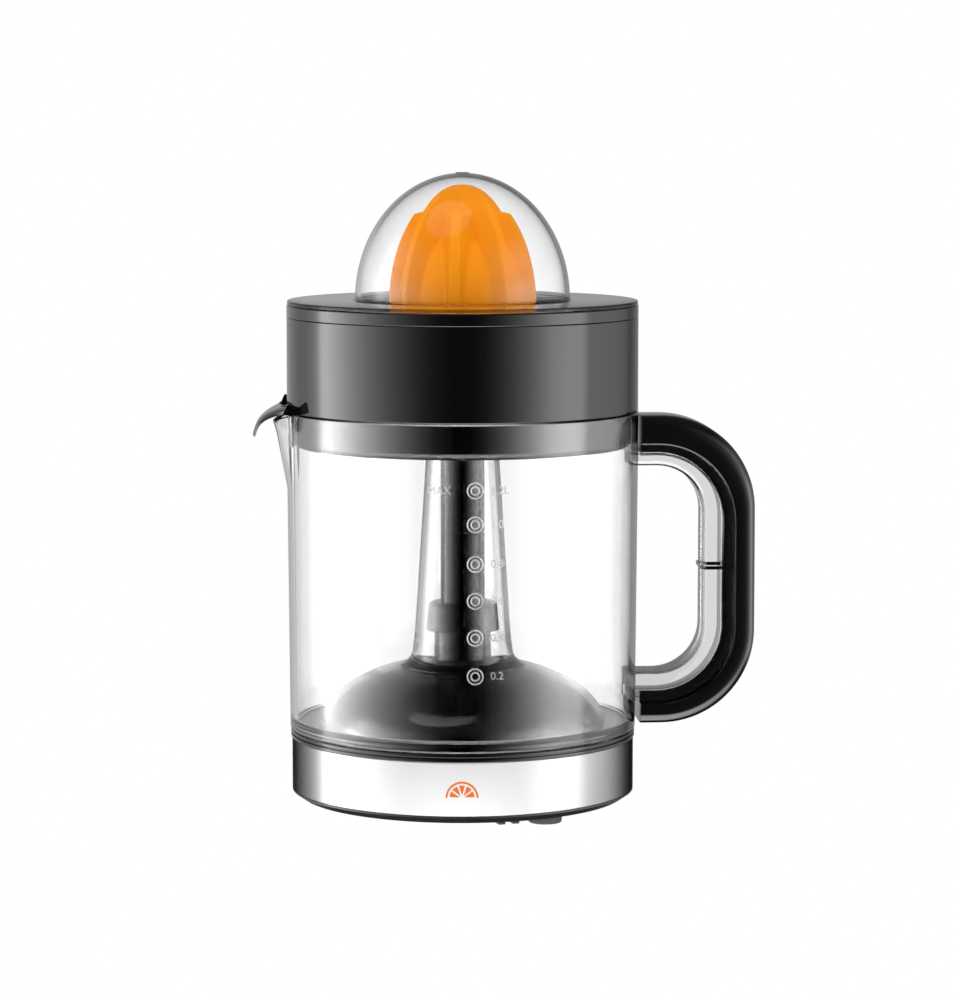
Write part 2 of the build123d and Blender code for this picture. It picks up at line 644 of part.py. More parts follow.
def jug():
    """Clear jug: wall, spout, domed floor, column and the inner part of the handle."""
    body = taper(jug_radius(JUG_BOTTOM), JUG_R_TOP, JUG_BOTTOM, JUG_TOP)
    body += spout_wedge(0.0)
    core = handle_slab(CORE_OUT_X, CORE_LOW, CORE_HIGH, CORE_OUT_R, CORE_HALF_W)
    finger_gap = handle_slab(GAP_OUT_X, GAP_LOW, GAP_HIGH, GAP_R, 30)
    body += core - finger_gap
    groove = handle_slab(CORE_OUT_X + 5, TONGUE_LOW - 20, TONGUE_HIGH + 20, TONGUE_R, TONGUE_HALF_W)
    groove -= handle_slab(TONGUE_IN_X, TONGUE_LOW, TONGUE_HIGH, TONGUE_R, 30)
    body -= groove & block(72.5, 130, -30, 30, 0, 200)
    body -= taper(jug_radius(JUG_BOTTOM) - JUG_T, JUG_R_TOP - JUG_T, JUG_BOTTOM + JUG_T, JUG_TOP + 0.01)
    body -= spout_wedge(1.9)
    floor_z = JUG_BOTTOM + JUG_T
    body += dome(CLEAR_DOME_R, CLEAR_DOME_H, COLLAR_TOP) & disc(80, floor_z - 1, 80)
    body += taper(COLUMN_R_LOW + 4.0, COLUMN_R_LOW, COLLAR_TOP + CLEAR_DOME_H - 3.0, COLUMN_Z_LOW)
    body += taper(COLUMN_R_LOW, COLUMN_R_TOP, COLUMN_Z_LOW, COLUMN_TOP)
    body += [ring - disc(60, 0, 200) for ring in capacity_marks()]
    body -= dome(CLEAR_DOME_R - CLEAR_DOME_T, CLEAR_DOME_H - CLEAR_DOME_T, COLLAR_TOP)
    body -= disc(CLEAR_DOME_R - CLEAR_DOME_T, 0, COLLAR_TOP + 0.1)
    body -= taper(COLUMN_R_LOW - COLUMN_T, COLUMN_R_TOP - COLUMN_T, COLUMN_Z_LOW, COLUMN_TOP + 0.01)
    body -= disc(COLUMN_R_LOW - COLUMN_T, COLLAR_TOP, COLUMN_Z_LOW + 0.01)
    normal = (-SPOUT_RIM_DROP, 0, SPOUT_TIP - JUG_R_TOP)
    slope = Plane(origin=(-JUG_R_TOP, 0, JUG_TOP), x_dir=(0, 1, 0), z_dir=normal)
    body -= extrude(slope * Rectangle(80, 30), 20)
    body -= disc(100, JUG_TOP, JUG_TOP + 5)
    return body


def handle_shell():
    """Dark channel round the outside of the handle, with a tongue that fills the clear part's groove."""
    shell = handle_slab(HANDLE_REACH, SHELL_LOW, SHELL_HIGH, SHELL_R, SHELL_HALF_W)
    flanks = shell.faces().filter_by(Axis.Y).edges()
    outer = flanks.filter_by(lambda edge: edge.center().X > 61)
    shell = fillet(outer, 6.0)
    shell -= handle_slab(CORE_OUT_X, CORE_LOW, CORE_HIGH, CORE_OUT_R, 30)
    tongue = handle_slab(CORE_OUT_X + 1, CORE_LOW - 1, CORE_HIGH + 1, CORE_OUT_R, TONGUE_HALF_W - 0.1)
    tongue -= handle_slab(TONGUE_IN_X + 0.1, TONGUE_LOW, TONGUE_HIGH, TONGUE_R, 30)
    shell += tongue & block(73, 130, -30, 30, 0, 200)
    return shell - disc(JUG_R_TOP + 0.3, 0, 200)


def handle_clip():
    """Thin strap round the clear part that locks the shell."""
    half_w = CORE_HALF_W + CLIP_T
    strap = block(GAP_OUT_X - CLIP_T, CORE_OUT_X, -half_w, half_w, CLIP_Z, CLIP_Z + CLIP_H)
    return strap - block(GAP_OUT_X, CORE_OUT_X + 1, -CORE_HALF_W, CORE_HALF_W, 0, 200)


# ---- collector and flap ----

def collector():
    """Ring with its spigot, floor, drain slots and the tube that keeps juice off the shaft."""
    body = disc(BAND2_R, BAND2_BOTTOM, BAND2_TOP) + disc(SPIGOT_R, SPIGOT_BOTTOM, BAND2_BOTTOM + 1)
    body = fillet(body.edges().group_by(Axis.Z)[0], 3.0)
    body -= disc(SPIGOT_R - WALL, SPIGOT_BOTTOM + WALL, BAND2_TOP + 1)
    body -= disc(BAND2_R - WALL, BAND2_BOTTOM + 3, BAND2_TOP + 1)
    body += disc(SLEEVE_R + 2, SPIGOT_BOTTOM, 153.0) + disc(TUBE_R, SPIGOT_BOTTOM, TUBE_TOP)
    body -= disc(SLEEVE_R, SPIGOT_BOTTOM - 1, COLUMN_TOP + 0.6)
    body -= disc(TUBE_R - TUBE_T, SPIGOT_BOTTOM - 1, TUBE_TOP + 1)
    slot = block(*DRAIN_R, -DRAIN_HALF_W, DRAIN_HALF_W, SPIGOT_BOTTOM - 1, SPIGOT_BOTTOM + WALL + 1)
    for i in range(DRAIN_SLOTS):
        body -= Rot(0, 0, 360 / DRAIN_SLOTS * (i + 0.5)) * slot
    x_wall = -sqrt(BAND2_R ** 2 - EAR_Y ** 2) + 1.5
    tip_x, low, high = HINGE_X - 2.2, BAND2_BOTTOM, 164.0
    for side in (-1, 1):
        ear = Polyline((x_wall, low), (tip_x, low), (tip_x + 2.2, high), (x_wall, high - 2.2), close=True)
        plate = extrude(Plane.XZ * make_face(ear), EAR_T / 2, both=True)
        body += Pos(0, side * EAR_Y, 0) * plate
        body -= Pos(HINGE_X, side * EAR_Y, HINGE_Z) * Rot(90, 0, 0) * Cylinder(HINGE_PIN_R + FIT_GAP, 6)
    return body


def flap_turned(solid, angle):
    """A solid turned about the flap's hinge."""
    return Pos(HINGE_X, 0, HINGE_Z) * Rot(0, angle, 0) * Pos(-HINGE_X, 0, -HINGE_Z) * solid


def spout_flap():
    """Beaked flap over the spout, cut back at its root so that it swings clear, with a pin in each ear."""
    back_x, tip_x, half_w = -71.2, -SPOUT_REACH, EAR_Y - EAR_T / 2 - RUN_GAP
    top_side = [(-69.2, 162.2), (HINGE_X, 162.6), (-77.0, 159.6), (-82.0, 156.4), (tip_x, 150.6)]
    under_side = [(-82.6, 150.3), (-80.4, 154.8), (-76.6, 157.2), (-71.6, 159.7), (-69.6, 160.2)]
    side_face = make_face(Polyline(*top_side, *under_side, close=True))
    slab = extrude(Plane.XZ * side_face, half_w, both=True)
    half_plan = [(-60, half_w), (back_x, half_w), (tip_x, FLAP_TIP_HALF_W)]
    plan = Polyline(*half_plan, *[(x, -y) for x, y in reversed(half_plan)], close=True)
    plan_face = fillet(make_face(plan).vertices().group_by(Axis.X)[0], 3.5)
    flap = slab & extrude(plan_face, 200)
    ring_wall = disc(BAND2_R + RUN_GAP, BAND2_BOTTOM - 20, BAND2_TOP)
    for step in range(6):
        flap -= flap_turned(ring_wall, -FLAP_SWING * step / 5)
    for side in (-1, 1):
        pin = Pos(HINGE_X, side * (half_w + 0.6), HINGE_Z) * Rot(90, 0, 0) * Cylinder(HINGE_PIN_R, 3.4)
        flap += pin
    return flap


# ---- strainer, reamer and cover ----

def strainer():
    """Rim, wall and slotted sieve floor with a hub."""
    body = disc(BAND2_R, BAND2_TOP + REST_GAP, STRAINER_TOP)
    body += disc(BAND2_R - WALL - 0.4, SIEVE_Z_OUT, BAND2_TOP + 1)
    body -= disc(STRAINER_WALL_R, SIEVE_Z_OUT + SIEVE_T, STRAINER_TOP + 1)
    edge = STRAINER_WALL_R + 1
    underside = [(0, SIEVE_Z_IN), (edge, SIEVE_Z_OUT)]
    inner = spun(underside + [(r, z + SIEVE_T) for r, z in reversed(underside)])
    body -= disc(STRAINER_WALL_R, SIEVE_Z_OUT - 1, SIEVE_Z_OUT + SIEVE_T + 1)
    body += inner
    body += disc(HUB_R_IN + 2, 177.0, HUB_TOP)
    body -= disc(HUB_R_IN, 170, SIEVE_Z_IN)
    body -= disc(SPINDLE_R + 0.6, 170, 210)
    for count, r0, r1, width in SIEVE_SLOTS:
        slot = block(r0, r1, -width / 2, width / 2, 170, 200)
        body -= [Rot(0, 0, 360 / count * i) * slot for i in range(count)]
    return body


def slinger_ring():
    """Ring keyed to the cone shaft that turns on the strainer's hub."""
    ring = disc(13.6, RING_BOTTOM, RING_TOP - 1.2) + disc(11.6, RING_BOTTOM, RING_TOP)
    flat = RING_FLAT + 0.05
    bore = disc(SPINDLE_R + FIT_GAP, 0, 300) & block(-20, 20, -flat, flat, 0, 300)
    return ring - bore


def cone_shaft():
    """Upper shaft: a hexagon socket at its foot, flats for the ring, and a hexagon that drives the cone."""
    shaft = disc(SPINDLE_R, CONE_SHAFT_BOTTOM, CONE_SEAT_Z)
    shaft += hexagon(CONE_HEX_AF, CONE_SEAT_Z - 1, CONE_HEX_TOP)
    shaft -= hexagon(HEX_AF + HEX_GAP, CONE_SHAFT_BOTTOM - 1, HEX_TOP + RUN_GAP)
    for y0, y1 in ((RING_FLAT, 12), (-12, -RING_FLAT)):
        shaft -= block(-12, 12, y0, y1, 178.0, CONE_SEAT_Z)
    return shaft


def reamer_cone():
    """Orange cone: four long and four short ridges on a hollow core, with a hexagon socket inside."""
    rise = CONE_APEX - CONE_SHOULDER_Z
    outside = dome(CONE_R, rise, CONE_SHOULDER_Z) + disc(CONE_R, CONE_BOTTOM, CONE_SHOULDER_Z)
    core_r = CONE_R * FLUTE_SHARE
    core = dome(core_r, rise * 0.94, CONE_SHOULDER_Z) + disc(core_r, CONE_BOTTOM, CONE_SHOULDER_Z)
    fins = []
    for first_angle, top in ((0, SHORT_RIDGE_TOP), (45, CONE_APEX)):
        fin = block(-40, 40, -RIDGE_T / 2, RIDGE_T / 2, CONE_BOTTOM, top)
        fins += [Rot(0, 0, first_angle + turn) * fin for turn in (0, 90)]
    hollow = dome(core_r - CONE_T, rise * 0.94 - 3.0, CONE_SHOULDER_Z)
    hollow += disc(core_r - CONE_T, CONE_BOTTOM - 1, CONE_SHOULDER_Z)
    hollow -= disc(SPINDLE_R, CONE_SEAT_Z + REST_GAP, CONE_APEX)
    seam = Rot(0, 0, SEAM_TURN)
    body = seam * core + (seam * outside & fused(fins)) - seam * hollow
    return Rot(0, 0, REAMER_TURN) * body - hexagon(CONE_HEX_AF + HEX_GAP, CONE_BOTTOM - 1, CONE_HEX_TOP + 1)


def dust_cover():
    """Clear cover: flange with a locating lip, and an egg-shaped dome."""
    body = disc(COVER_R, FLANGE_BOTTOM, FLANGE_TOP) + tube(65.8, 64.4, 198.0, FLANGE_TOP)
    body += dome(COVER_DOME_R, COVER_DOME_H, FLANGE_TOP - 0.01)
    body += taper(COVER_DOME_R + 1.6, COVER_DOME_R - 0.3, FLANGE_TOP - 0.01, FLANGE_TOP + 1.5)
    body += disc(2.75, FLANGE_TOP + COVER_DOME_H - 2, FLANGE_TOP + COVER_DOME_H + 0.2)
    hollow = dome(COVER_DOME_R - COVER_T, COVER_DOME_H - COVER_T, FLANGE_TOP)
    hollow += disc(COVER_DOME_R - COVER_T, 190, FLANGE_TOP + 0.01)
    return body - hollow


PIECES = {
    "base_housing": base_housing, "steel_band": steel_band, "bottom_plate": bottom_plate,
    "rubber_feet": rubber_feet, "cord_clip": cord_clip, "cord_gland": cord_gland, "base_screws": base_screws,
    "lower_plate": lower_plate, "upper_plate": upper_plate, "plate_pillars": plate_pillars,
    "gearbox_screws": gearbox_screws, "shaft_bushes": shaft_bushes, "shaft_seal": shaft_seal,
    "gear_pin_1": lambda: gear_pin(IDLER_1, LEVEL_B[1]),
    "gear_pin_2": lambda: gear_pin(IDLER_2, UPPER_PLATE[1]),
    "drive_gear": drive_gear, "idler_gear_1": idler_gear_1, "idler_gear_2": idler_gear_2,
    "motor_pinion": motor_pinion, "motor_rotor": motor_rotor, "motor_core": motor_core,
    "coil_bobbin": coil_bobbin, "coil_winding": coil_winding, "motor_bracket": motor_bracket,
    "rotor_bushes": rotor_bushes, "motor_screws": motor_screws, "push_switch": push_switch,
    "switch_plunger": switch_plunger, "terminal_block": terminal_block, "inner_leads": inner_leads,
    "output_shaft": output_shaft, "spring_collar": spring_collar, "retaining_clip": retaining_clip,
    "press_spring": press_spring, "drive_spindle": drive_spindle, "jug": jug, "handle_shell": handle_shell,
    "handle_clip": handle_clip, "collector": collector, "spout_flap": spout_flap, "strainer": strainer,
    "slinger_ring": slinger_ring, "cone_shaft": cone_shaft, "reamer_cone": reamer_cone,
    "dust_cover": dust_cover,
}


def write_all():
    """Write every piece to its own file, moved into the shared frame."""
    os.makedirs("parts", exist_ok=True)
    for name, make in PIECES.items():
        made = make()
        solids = made if isinstance(made, list) else [made]
        placed = [Pos(AXIS_X, 0, 0) * solid for solid in solids]
        piece = placed[0] if len(placed) == 1 else Compound(children=placed)
        piece.label = name
        export_step(piece, f"parts/{name}.step")
        print(name, len(piece.solids()), round(piece.volume, 1))


write_all()
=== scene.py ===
import json
import logging
from dataclasses import dataclass, field
from enum import Enum
from math import atan2, cos, pi, radians, sin, sqrt, tau

import bmesh
import bpy
from mathutils import Matrix, Vector

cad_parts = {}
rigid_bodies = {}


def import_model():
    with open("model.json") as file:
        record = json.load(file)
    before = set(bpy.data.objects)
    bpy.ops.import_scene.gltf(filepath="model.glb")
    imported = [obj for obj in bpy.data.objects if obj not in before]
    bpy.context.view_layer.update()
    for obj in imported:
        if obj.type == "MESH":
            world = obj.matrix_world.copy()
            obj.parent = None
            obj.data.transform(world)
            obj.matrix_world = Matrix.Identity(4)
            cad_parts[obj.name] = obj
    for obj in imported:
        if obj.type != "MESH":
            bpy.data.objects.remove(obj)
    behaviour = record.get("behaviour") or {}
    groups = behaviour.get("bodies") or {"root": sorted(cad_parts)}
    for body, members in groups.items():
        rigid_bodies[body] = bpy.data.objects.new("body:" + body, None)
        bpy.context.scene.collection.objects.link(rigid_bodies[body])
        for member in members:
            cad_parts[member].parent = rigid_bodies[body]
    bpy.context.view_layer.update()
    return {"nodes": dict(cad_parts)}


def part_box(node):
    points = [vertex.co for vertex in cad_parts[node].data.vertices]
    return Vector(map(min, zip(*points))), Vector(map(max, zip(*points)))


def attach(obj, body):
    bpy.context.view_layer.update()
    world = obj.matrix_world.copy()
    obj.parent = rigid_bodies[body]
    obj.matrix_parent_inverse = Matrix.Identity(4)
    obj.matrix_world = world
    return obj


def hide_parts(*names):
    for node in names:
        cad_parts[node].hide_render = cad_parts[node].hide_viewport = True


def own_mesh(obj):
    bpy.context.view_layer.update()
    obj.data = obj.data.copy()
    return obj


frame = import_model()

LOG = logging.getLogger("juicer")
MM = 0.001
SHAFT_LOW, SHAFT_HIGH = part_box("output_shaft")
AXIS_X = (SHAFT_LOW[0] + SHAFT_HIGH[0]) / 2 / MM
"""Where the jug's axis stands in the frame, in millimetres."""
WRAP_MAP = "wrap"
"""Name of the map that runs round the axis, for the direction of the brushing."""

Pair = tuple[float, float]
Point = tuple[float, float, float]
Track = tuple[float, float, float, float]
"""A handle's outline: outer x, lower z, upper z and corner radius."""
Corner = tuple[float, float, float]
"""A profile corner: radius, height and the fillet at that corner."""
Stops = tuple[Pair, ...]
"""Turns from the camera's side in degrees, to the right positive, each with a brightness."""
Piece = bpy.types.Object
Tree = bpy.types.NodeTree
Socket = bpy.types.NodeSocket


class Body(Enum):
    """The CAD bodies that pieces ride on."""

    BASE = "base"
    DRIVE = "drive"
    SPINDLE = "spindle"
    JUG = "jug_body"
    COLLECTOR = "collector_body"
    FLAP = "flap"
    STRAINER = "strainer_body"
    UPPER_SHAFT = "upper_shaft"
    CONE = "cone"
    COVER = "cover"


# ---------------------------------------------------------------- outlines

def rounded(corners: list[Corner], closed: bool = True, steps: int = 6) -> list[Pair]:
    """Turns a list of corners into an outline whose corners are arcs.

    Args:
        corners: radius, height and fillet of each corner, in millimetres.
        closed: whether the last corner joins the first.
        steps: number of pieces of each arc.

    Returns:
        The outline as (radius, height) points.
    """
    points: list[Pair] = []
    count = len(corners)
    for i, (r, z, fillet) in enumerate(corners):
        here = Vector((r, z))
        if fillet <= 0 or (not closed and i in (0, count - 1)):
            points.append((r, z))
            continue
        before = Vector(corners[i - 1][:2]) - here
        after = Vector(corners[(i + 1) % count][:2]) - here
        half = before.angle(after) / 2
        reach = min(fillet / max(sin(half) / cos(half), 1e-6), before.length * 0.49, after.length * 0.49)
        start, end = here + before.normalized() * reach, here + after.normalized() * reach
        for k in range(steps + 1):
            t = k / steps
            spot = start.lerp(here, t).lerp(here.lerp(end, t), t)
            points.append((spot.x, spot.y))
    return points


def ellipse(radius: float, height: float, base: float, low: float, high: float, steps: int) -> list[Corner]:
    """Points of a quarter ellipse between two heights.

    Args:
        radius: half width at the base.
        height: rise of the full quarter.
        base: height of its centre.
        low: height to start from.
        high: height to stop at.
        steps: number of pieces.

    Returns:
        Corners without fillets, from low to high.
    """
    a0 = (low - base) / height
    a1 = (high - base) / height
    start, stop = atan2(a0, sqrt(max(0.0, 1 - a0 * a0))), atan2(a1, sqrt(max(0.0, 1 - a1 * a1)))
    angles = [start + (stop - start) * i / steps for i in range(steps + 1)]
    return [(radius * cos(a), base + height * sin(a), 0.0) for a in angles]


def even_angles(count: int) -> list[float]:
    """Angles evenly round a circle, in radians."""
    return [tau * i / count for i in range(count)]


# ---------------------------------------------------------------- meshes

class Shape:
    """Collects rings of points in millimetres about the jug's axis, and makes one mesh object of them."""

    def __init__(self, name: str) -> None:
        """Starts an empty shape with the name of its piece."""
        self.name = name
        self.mesh = bmesh.new()

    def grid(self, rows: list[list[Point]], wrap_rows: bool, wrap_columns: bool) -> "Shape":
        """Adds a sheet of quads over rows of points.

        Args:
            rows: equally long rows of points.
            wrap_rows: whether the last row joins the first.
            wrap_columns: whether each row is a closed ring.

        Returns:
            The shape itself.
        """
        verts = [[self.mesh.verts.new(p) for p in row] for row in rows]
        columns = len(rows[0])
        for i in range(len(rows) if wrap_rows else len(rows) - 1):
            upper, lower = verts[i], verts[(i + 1) % len(rows)]
            for j in range(columns if wrap_columns else columns - 1):
                k = (j + 1) % columns
                self.mesh.faces.new((upper[j], upper[k], lower[k], lower[j]))
        return self

    def turned(self, corners: list[Corner], closed: bool = True, count: int = 192,
               centre: Pair = (0.0, 0.0), steps: int = 5) -> "Shape":
        """Adds a solid turned about a vertical line.

        Args:
            corners: outline as radius, height and fillet.
            closed: whether the outline closes by itself, or at the axis.
            count: number of segments round the circle.
            centre: the line's place.
            steps: pieces of each fillet.

        Returns:
            The shape itself.
        """
        outline = rounded(corners, closed, steps)
        rows = [[(centre[0] + r * cos(a), centre[1] + r * sin(a), z) for a in even_angles(count)]
                for r, z in outline]
        return self.grid(rows, closed, True)

    def loft(self, sections: list[list[Point]]) -> "Shape":
        """Adds a tube over closed sections, with flat ends."""
        start, count = len(self.mesh.verts), len(sections[0])
        self.grid(sections, False, True)
        self.mesh.verts.ensure_lookup_table()
        verts = list(self.mesh.verts)[start:]
        self.mesh.faces.new(verts[:count][::-1])
        self.mesh.faces.new(verts[-count:])
        return self

    def prism(self, outline: list[Pair], low: float, high: float) -> "Shape":
        """Adds an upright prism over a closed outline in plan."""
        return self.loft([[(x, y, z) for x, y in outline] for z in (low, high)])

    def make(self, crease: float = 38.0) -> Piece:
        """Closes the poles, turns faces outwards, shades smoothly and puts the piece in the frame.

        Args:
            crease: edges sharper than this many degrees stay sharp.

        Returns:
            The finished object at the origin, with its place in its mesh.
        """
        bmesh.ops.remove_doubles(self.mesh, verts=self.mesh.verts, dist=1e-4)
        bmesh.ops.dissolve_degenerate(self.mesh, edges=self.mesh.edges, dist=1e-5)
        bmesh.ops.recalc_face_normals(self.mesh, faces=self.mesh.faces)
        place = Matrix.Scale(MM, 4) @ Matrix.Translation((AXIS_X, 0.0, 0.0))
        bmesh.ops.transform(self.mesh, matrix=place, verts=self.mesh.verts)
        data = bpy.data.meshes.new(self.name)
        self.mesh.to_mesh(data)
        self.mesh.free()
        data.shade_smooth()
        data.set_sharp_from_angle(angle=radians(crease))
        piece = bpy.data.objects.new(self.name, data)
        bpy.context.collection.objects.link(piece)
        return piece


def wrap_map(piece: Piece) -> Piece:
    """Gives a piece a map whose first axis runs round the jug's axis.

    Args:
        piece: a turned piece in the frame.

    Returns:
        The piece.
    """
    data = piece.data
    layer = data.uv_layers.new(name=WRAP_MAP)
    for face in data.polygons:
        middle = atan2(face.center.y, face.center.x - AXIS_X * MM)
        for loop in face.loop_indices:
            spot = data.vertices[data.loops[loop].vertex_index].co
            angle = atan2(spot.y, spot.x - AXIS_X * MM)
            angle += tau * round((middle - angle) / tau)
            layer.data[loop].uv = (angle / tau + 0.5, spot.z / 0.1)
    return piece


def plain_mesh(source: Piece, name: str) -> Piece:
    """Turns the evaluated result of an object into a plain mesh object, and removes the source.

    Args:
        source: an object with modifiers, or a text object.
        name: name of the new piece.

    Returns:
        The new object.
    """
    graph = bpy.context.evaluated_depsgraph_get()
    data = bpy.data.meshes.new_from_object(source.evaluated_get(graph))
    data.name = name
    bpy.data.objects.remove(source, do_unlink=True)
    piece = bpy.data.objects.new(name, data)
    bpy.context.collection.objects.link(piece)
    return piece


# ---------------------------------------------------------------- node trees

def feed(tree: Tree, target: Socket, value: Socket | float) -> None:
    """Sets an input to a number, or links a socket to it."""
    if isinstance(value, (int, float)):
        target.default_value = value
    else:
        tree.links.new(value, target)


def calculate(tree: Tree, operation: str, *values: Socket | float) -> Socket:
    """Adds one step of arithmetic to a tree.

    Args:
        tree: the tree.
        operation: Blender's name for it.
        values: its operands, sockets or numbers.

    Returns:
        The result.
    """
    node = tree.nodes.new("ShaderNodeMath")
    node.operation = operation
    for target, value in zip(node.inputs, values):
        feed(tree, target, value)
    return node.outputs[0]


class RadialArray:
    """A Geometry Nodes tree that repeats one solid evenly round the jug's axis."""

    def __init__(self) -> None:
        """Builds the tree with named inputs for the solid, the count and the material."""
        tree = bpy.data.node_groups.new("radial_array", "GeometryNodeTree")
        face = tree.interface
        face.new_socket("Geometry", in_out="INPUT", socket_type="NodeSocketGeometry")
        kinds = {"Count": "NodeSocketInt", "Turn": "NodeSocketFloat", "Axis X": "NodeSocketFloat",
                 "Finish": "NodeSocketMaterial"}
        self.ids = {label: face.new_socket(label, in_out="INPUT", socket_type=kind).identifier
                    for label, kind in kinds.items()}
        face.new_socket("Geometry", in_out="OUTPUT", socket_type="NodeSocketGeometry")
        new, link = tree.nodes.new, tree.links.new
        source, result = new("NodeGroupInput"), new("NodeGroupOutput")
        points = new("GeometryNodePoints")
        index, turn, place = (new("GeometryNodeInputIndex"), new("ShaderNodeCombineXYZ"),
                              new("ShaderNodeCombineXYZ"))
        instances, real, finish = (new("GeometryNodeInstanceOnPoints"), new("GeometryNodeRealizeInstances"),
                                   new("GeometryNodeSetMaterial"))
        step = calculate(tree, "DIVIDE", tau, source.outputs["Count"])
        angle = calculate(tree, "MULTIPLY_ADD", index.outputs[0], step, source.outputs["Turn"])
        link(source.outputs["Count"], points.inputs["Count"])
        link(source.outputs["Axis X"], place.inputs["X"])
        link(place.outputs[0], points.inputs["Position"])
        link(angle, turn.inputs["Z"])
        link(points.outputs[0], instances.inputs["Points"])
        link(source.outputs["Geometry"], instances.inputs["Instance"])
        link(turn.outputs[0], instances.inputs["Rotation"])
        link(instances.outputs[0], real.inputs[0])
        link(real.outputs[0], finish.inputs["Geometry"])
        link(source.outputs["Finish"], finish.inputs["Material"])
        link(finish.outputs[0], result.inputs[0])
        self.tree = tree

    def repeat(self, piece: Piece, name: str, count: int, finish: bpy.types.Material,
               turn: float = 0.0) -> Piece:
        """Repeats a piece that was drawn about the axis.

        Args:
            piece: the solid, already in the frame.
            name: name of the result.
            count: how many there are.
            finish: their material.
            turn: angle of the first, in degrees.

        Returns:
            One plain mesh object with all copies.
        """
        piece.data.transform(Matrix.Translation((-AXIS_X * MM, 0.0, 0.0)))
        modifier = piece.modifiers.new("array", "NODES")
        modifier.node_group = self.tree
        values = {"Count": count, "Turn": radians(turn), "Axis X": AXIS_X * MM, "Finish": finish}
        for label, value in values.items():
            modifier[self.ids[label]] = value
        return plain_mesh(piece, name)


# ---------------------------------------------------------------- shader groups

def skin_group(name: str, inputs: dict[str, float]) -> tuple[Tree, bpy.types.Node]:
    """Starts a shader group that gives a roughness, a height and a tint mask.

    Args:
        name: its name.
        inputs: names and default values of its number inputs.

    Returns:
        The tree and its input node.
    """
    tree = bpy.data.node_groups.new(name, "ShaderNodeTree")
    for label, value in inputs.items():
        tree.interface.new_socket(label, in_out="INPUT", socket_type="NodeSocketFloat").default_value = value
    for label in ("Roughness", "Height", "Tint"):
        tree.interface.new_socket(label, in_out="OUTPUT", socket_type="NodeSocketFloat")
    return tree, tree.nodes.new("NodeGroupInput")


def noise(tree: Tree, vector: Socket, detail: float) -> bpy.types.Node:
    """A noise texture read at a vector."""
    node = tree.nodes.new("ShaderNodeTexNoise")
    node.inputs["Detail"].default_value = detail
    tree.links.new(vector, node.inputs["Vector"])
    return node


def finish_skin(tree: Tree, source: bpy.types.Node, broad: Socket, fine: Socket) -> Tree:
    """Ends a skin group.

    Args:
        tree: the group.
        source: its input node, with the sockets Smooth and Rough.
        broad: noise that moves the roughness and the tint.
        fine: noise for the height.

    Returns:
        The group.
    """
    node, result = tree.nodes.new("ShaderNodeMapRange"), tree.nodes.new("NodeGroupOutput")
    for label, value in (("Value", broad), ("From Min", 0.3), ("From Max", 0.7),
                         ("To Min", source.outputs["Smooth"]), ("To Max", source.outputs["Rough"])):
        feed(tree, node.inputs[label], value)
    for label, value in (("Roughness", node.outputs["Result"]), ("Height", fine), ("Tint", broad)):
        tree.links.new(value, result.inputs[label])
    return tree


def moulded_skin() -> Tree:
    """Fine unevenness of a moulded surface."""
    tree, source = skin_group("moulded_skin", {"Scale": 60.0, "Smooth": 0.1, "Rough": 0.2})
    where = tree.nodes.new("ShaderNodeTexCoord")
    broad, fine = (noise(tree, where.outputs["Object"], detail) for detail in (3.0, 2.0))
    tree.links.new(source.outputs["Scale"], broad.inputs["Scale"])
    fine.inputs["Scale"].default_value = 900.0
    return finish_skin(tree, source, broad.outputs["Fac"], fine.outputs["Fac"])


def brushed_grain() -> Tree:
    """Fine scratches that run round the jug's axis."""
    tree, source = skin_group("brushed_grain", {"Across": 2600.0, "Along": 0.9, "Smooth": 0.2, "Rough": 0.4})
    new, link = tree.nodes.new, tree.links.new
    where, split, joined = (new("ShaderNodeTexCoord"), new("ShaderNodeSeparateXYZ"),
                            new("ShaderNodeCombineXYZ"))
    link(where.outputs["Object"], split.inputs[0])
    from_axis = calculate(tree, "SUBTRACT", split.outputs["X"], AXIS_X * MM)
    turn = calculate(tree, "ARCTAN2", split.outputs["Y"], from_axis)
    link(calculate(tree, "MULTIPLY", turn, source.outputs["Along"]), joined.inputs["X"])
    link(calculate(tree, "MULTIPLY", split.outputs["Z"], source.outputs["Across"]), joined.inputs["Z"])
    streaks = noise(tree, joined.outputs[0], 4.0)
    streaks.inputs["Scale"].default_value = 2.4
    return finish_skin(tree, source, streaks.outputs["Fac"], streaks.outputs["Fac"])


# ---------------------------------------------------------------- finishes

class Grain(Enum):
    """Which surface effect a finish carries."""

    MOULDED = "moulded_skin"
    BRUSHED = "brushed_grain"


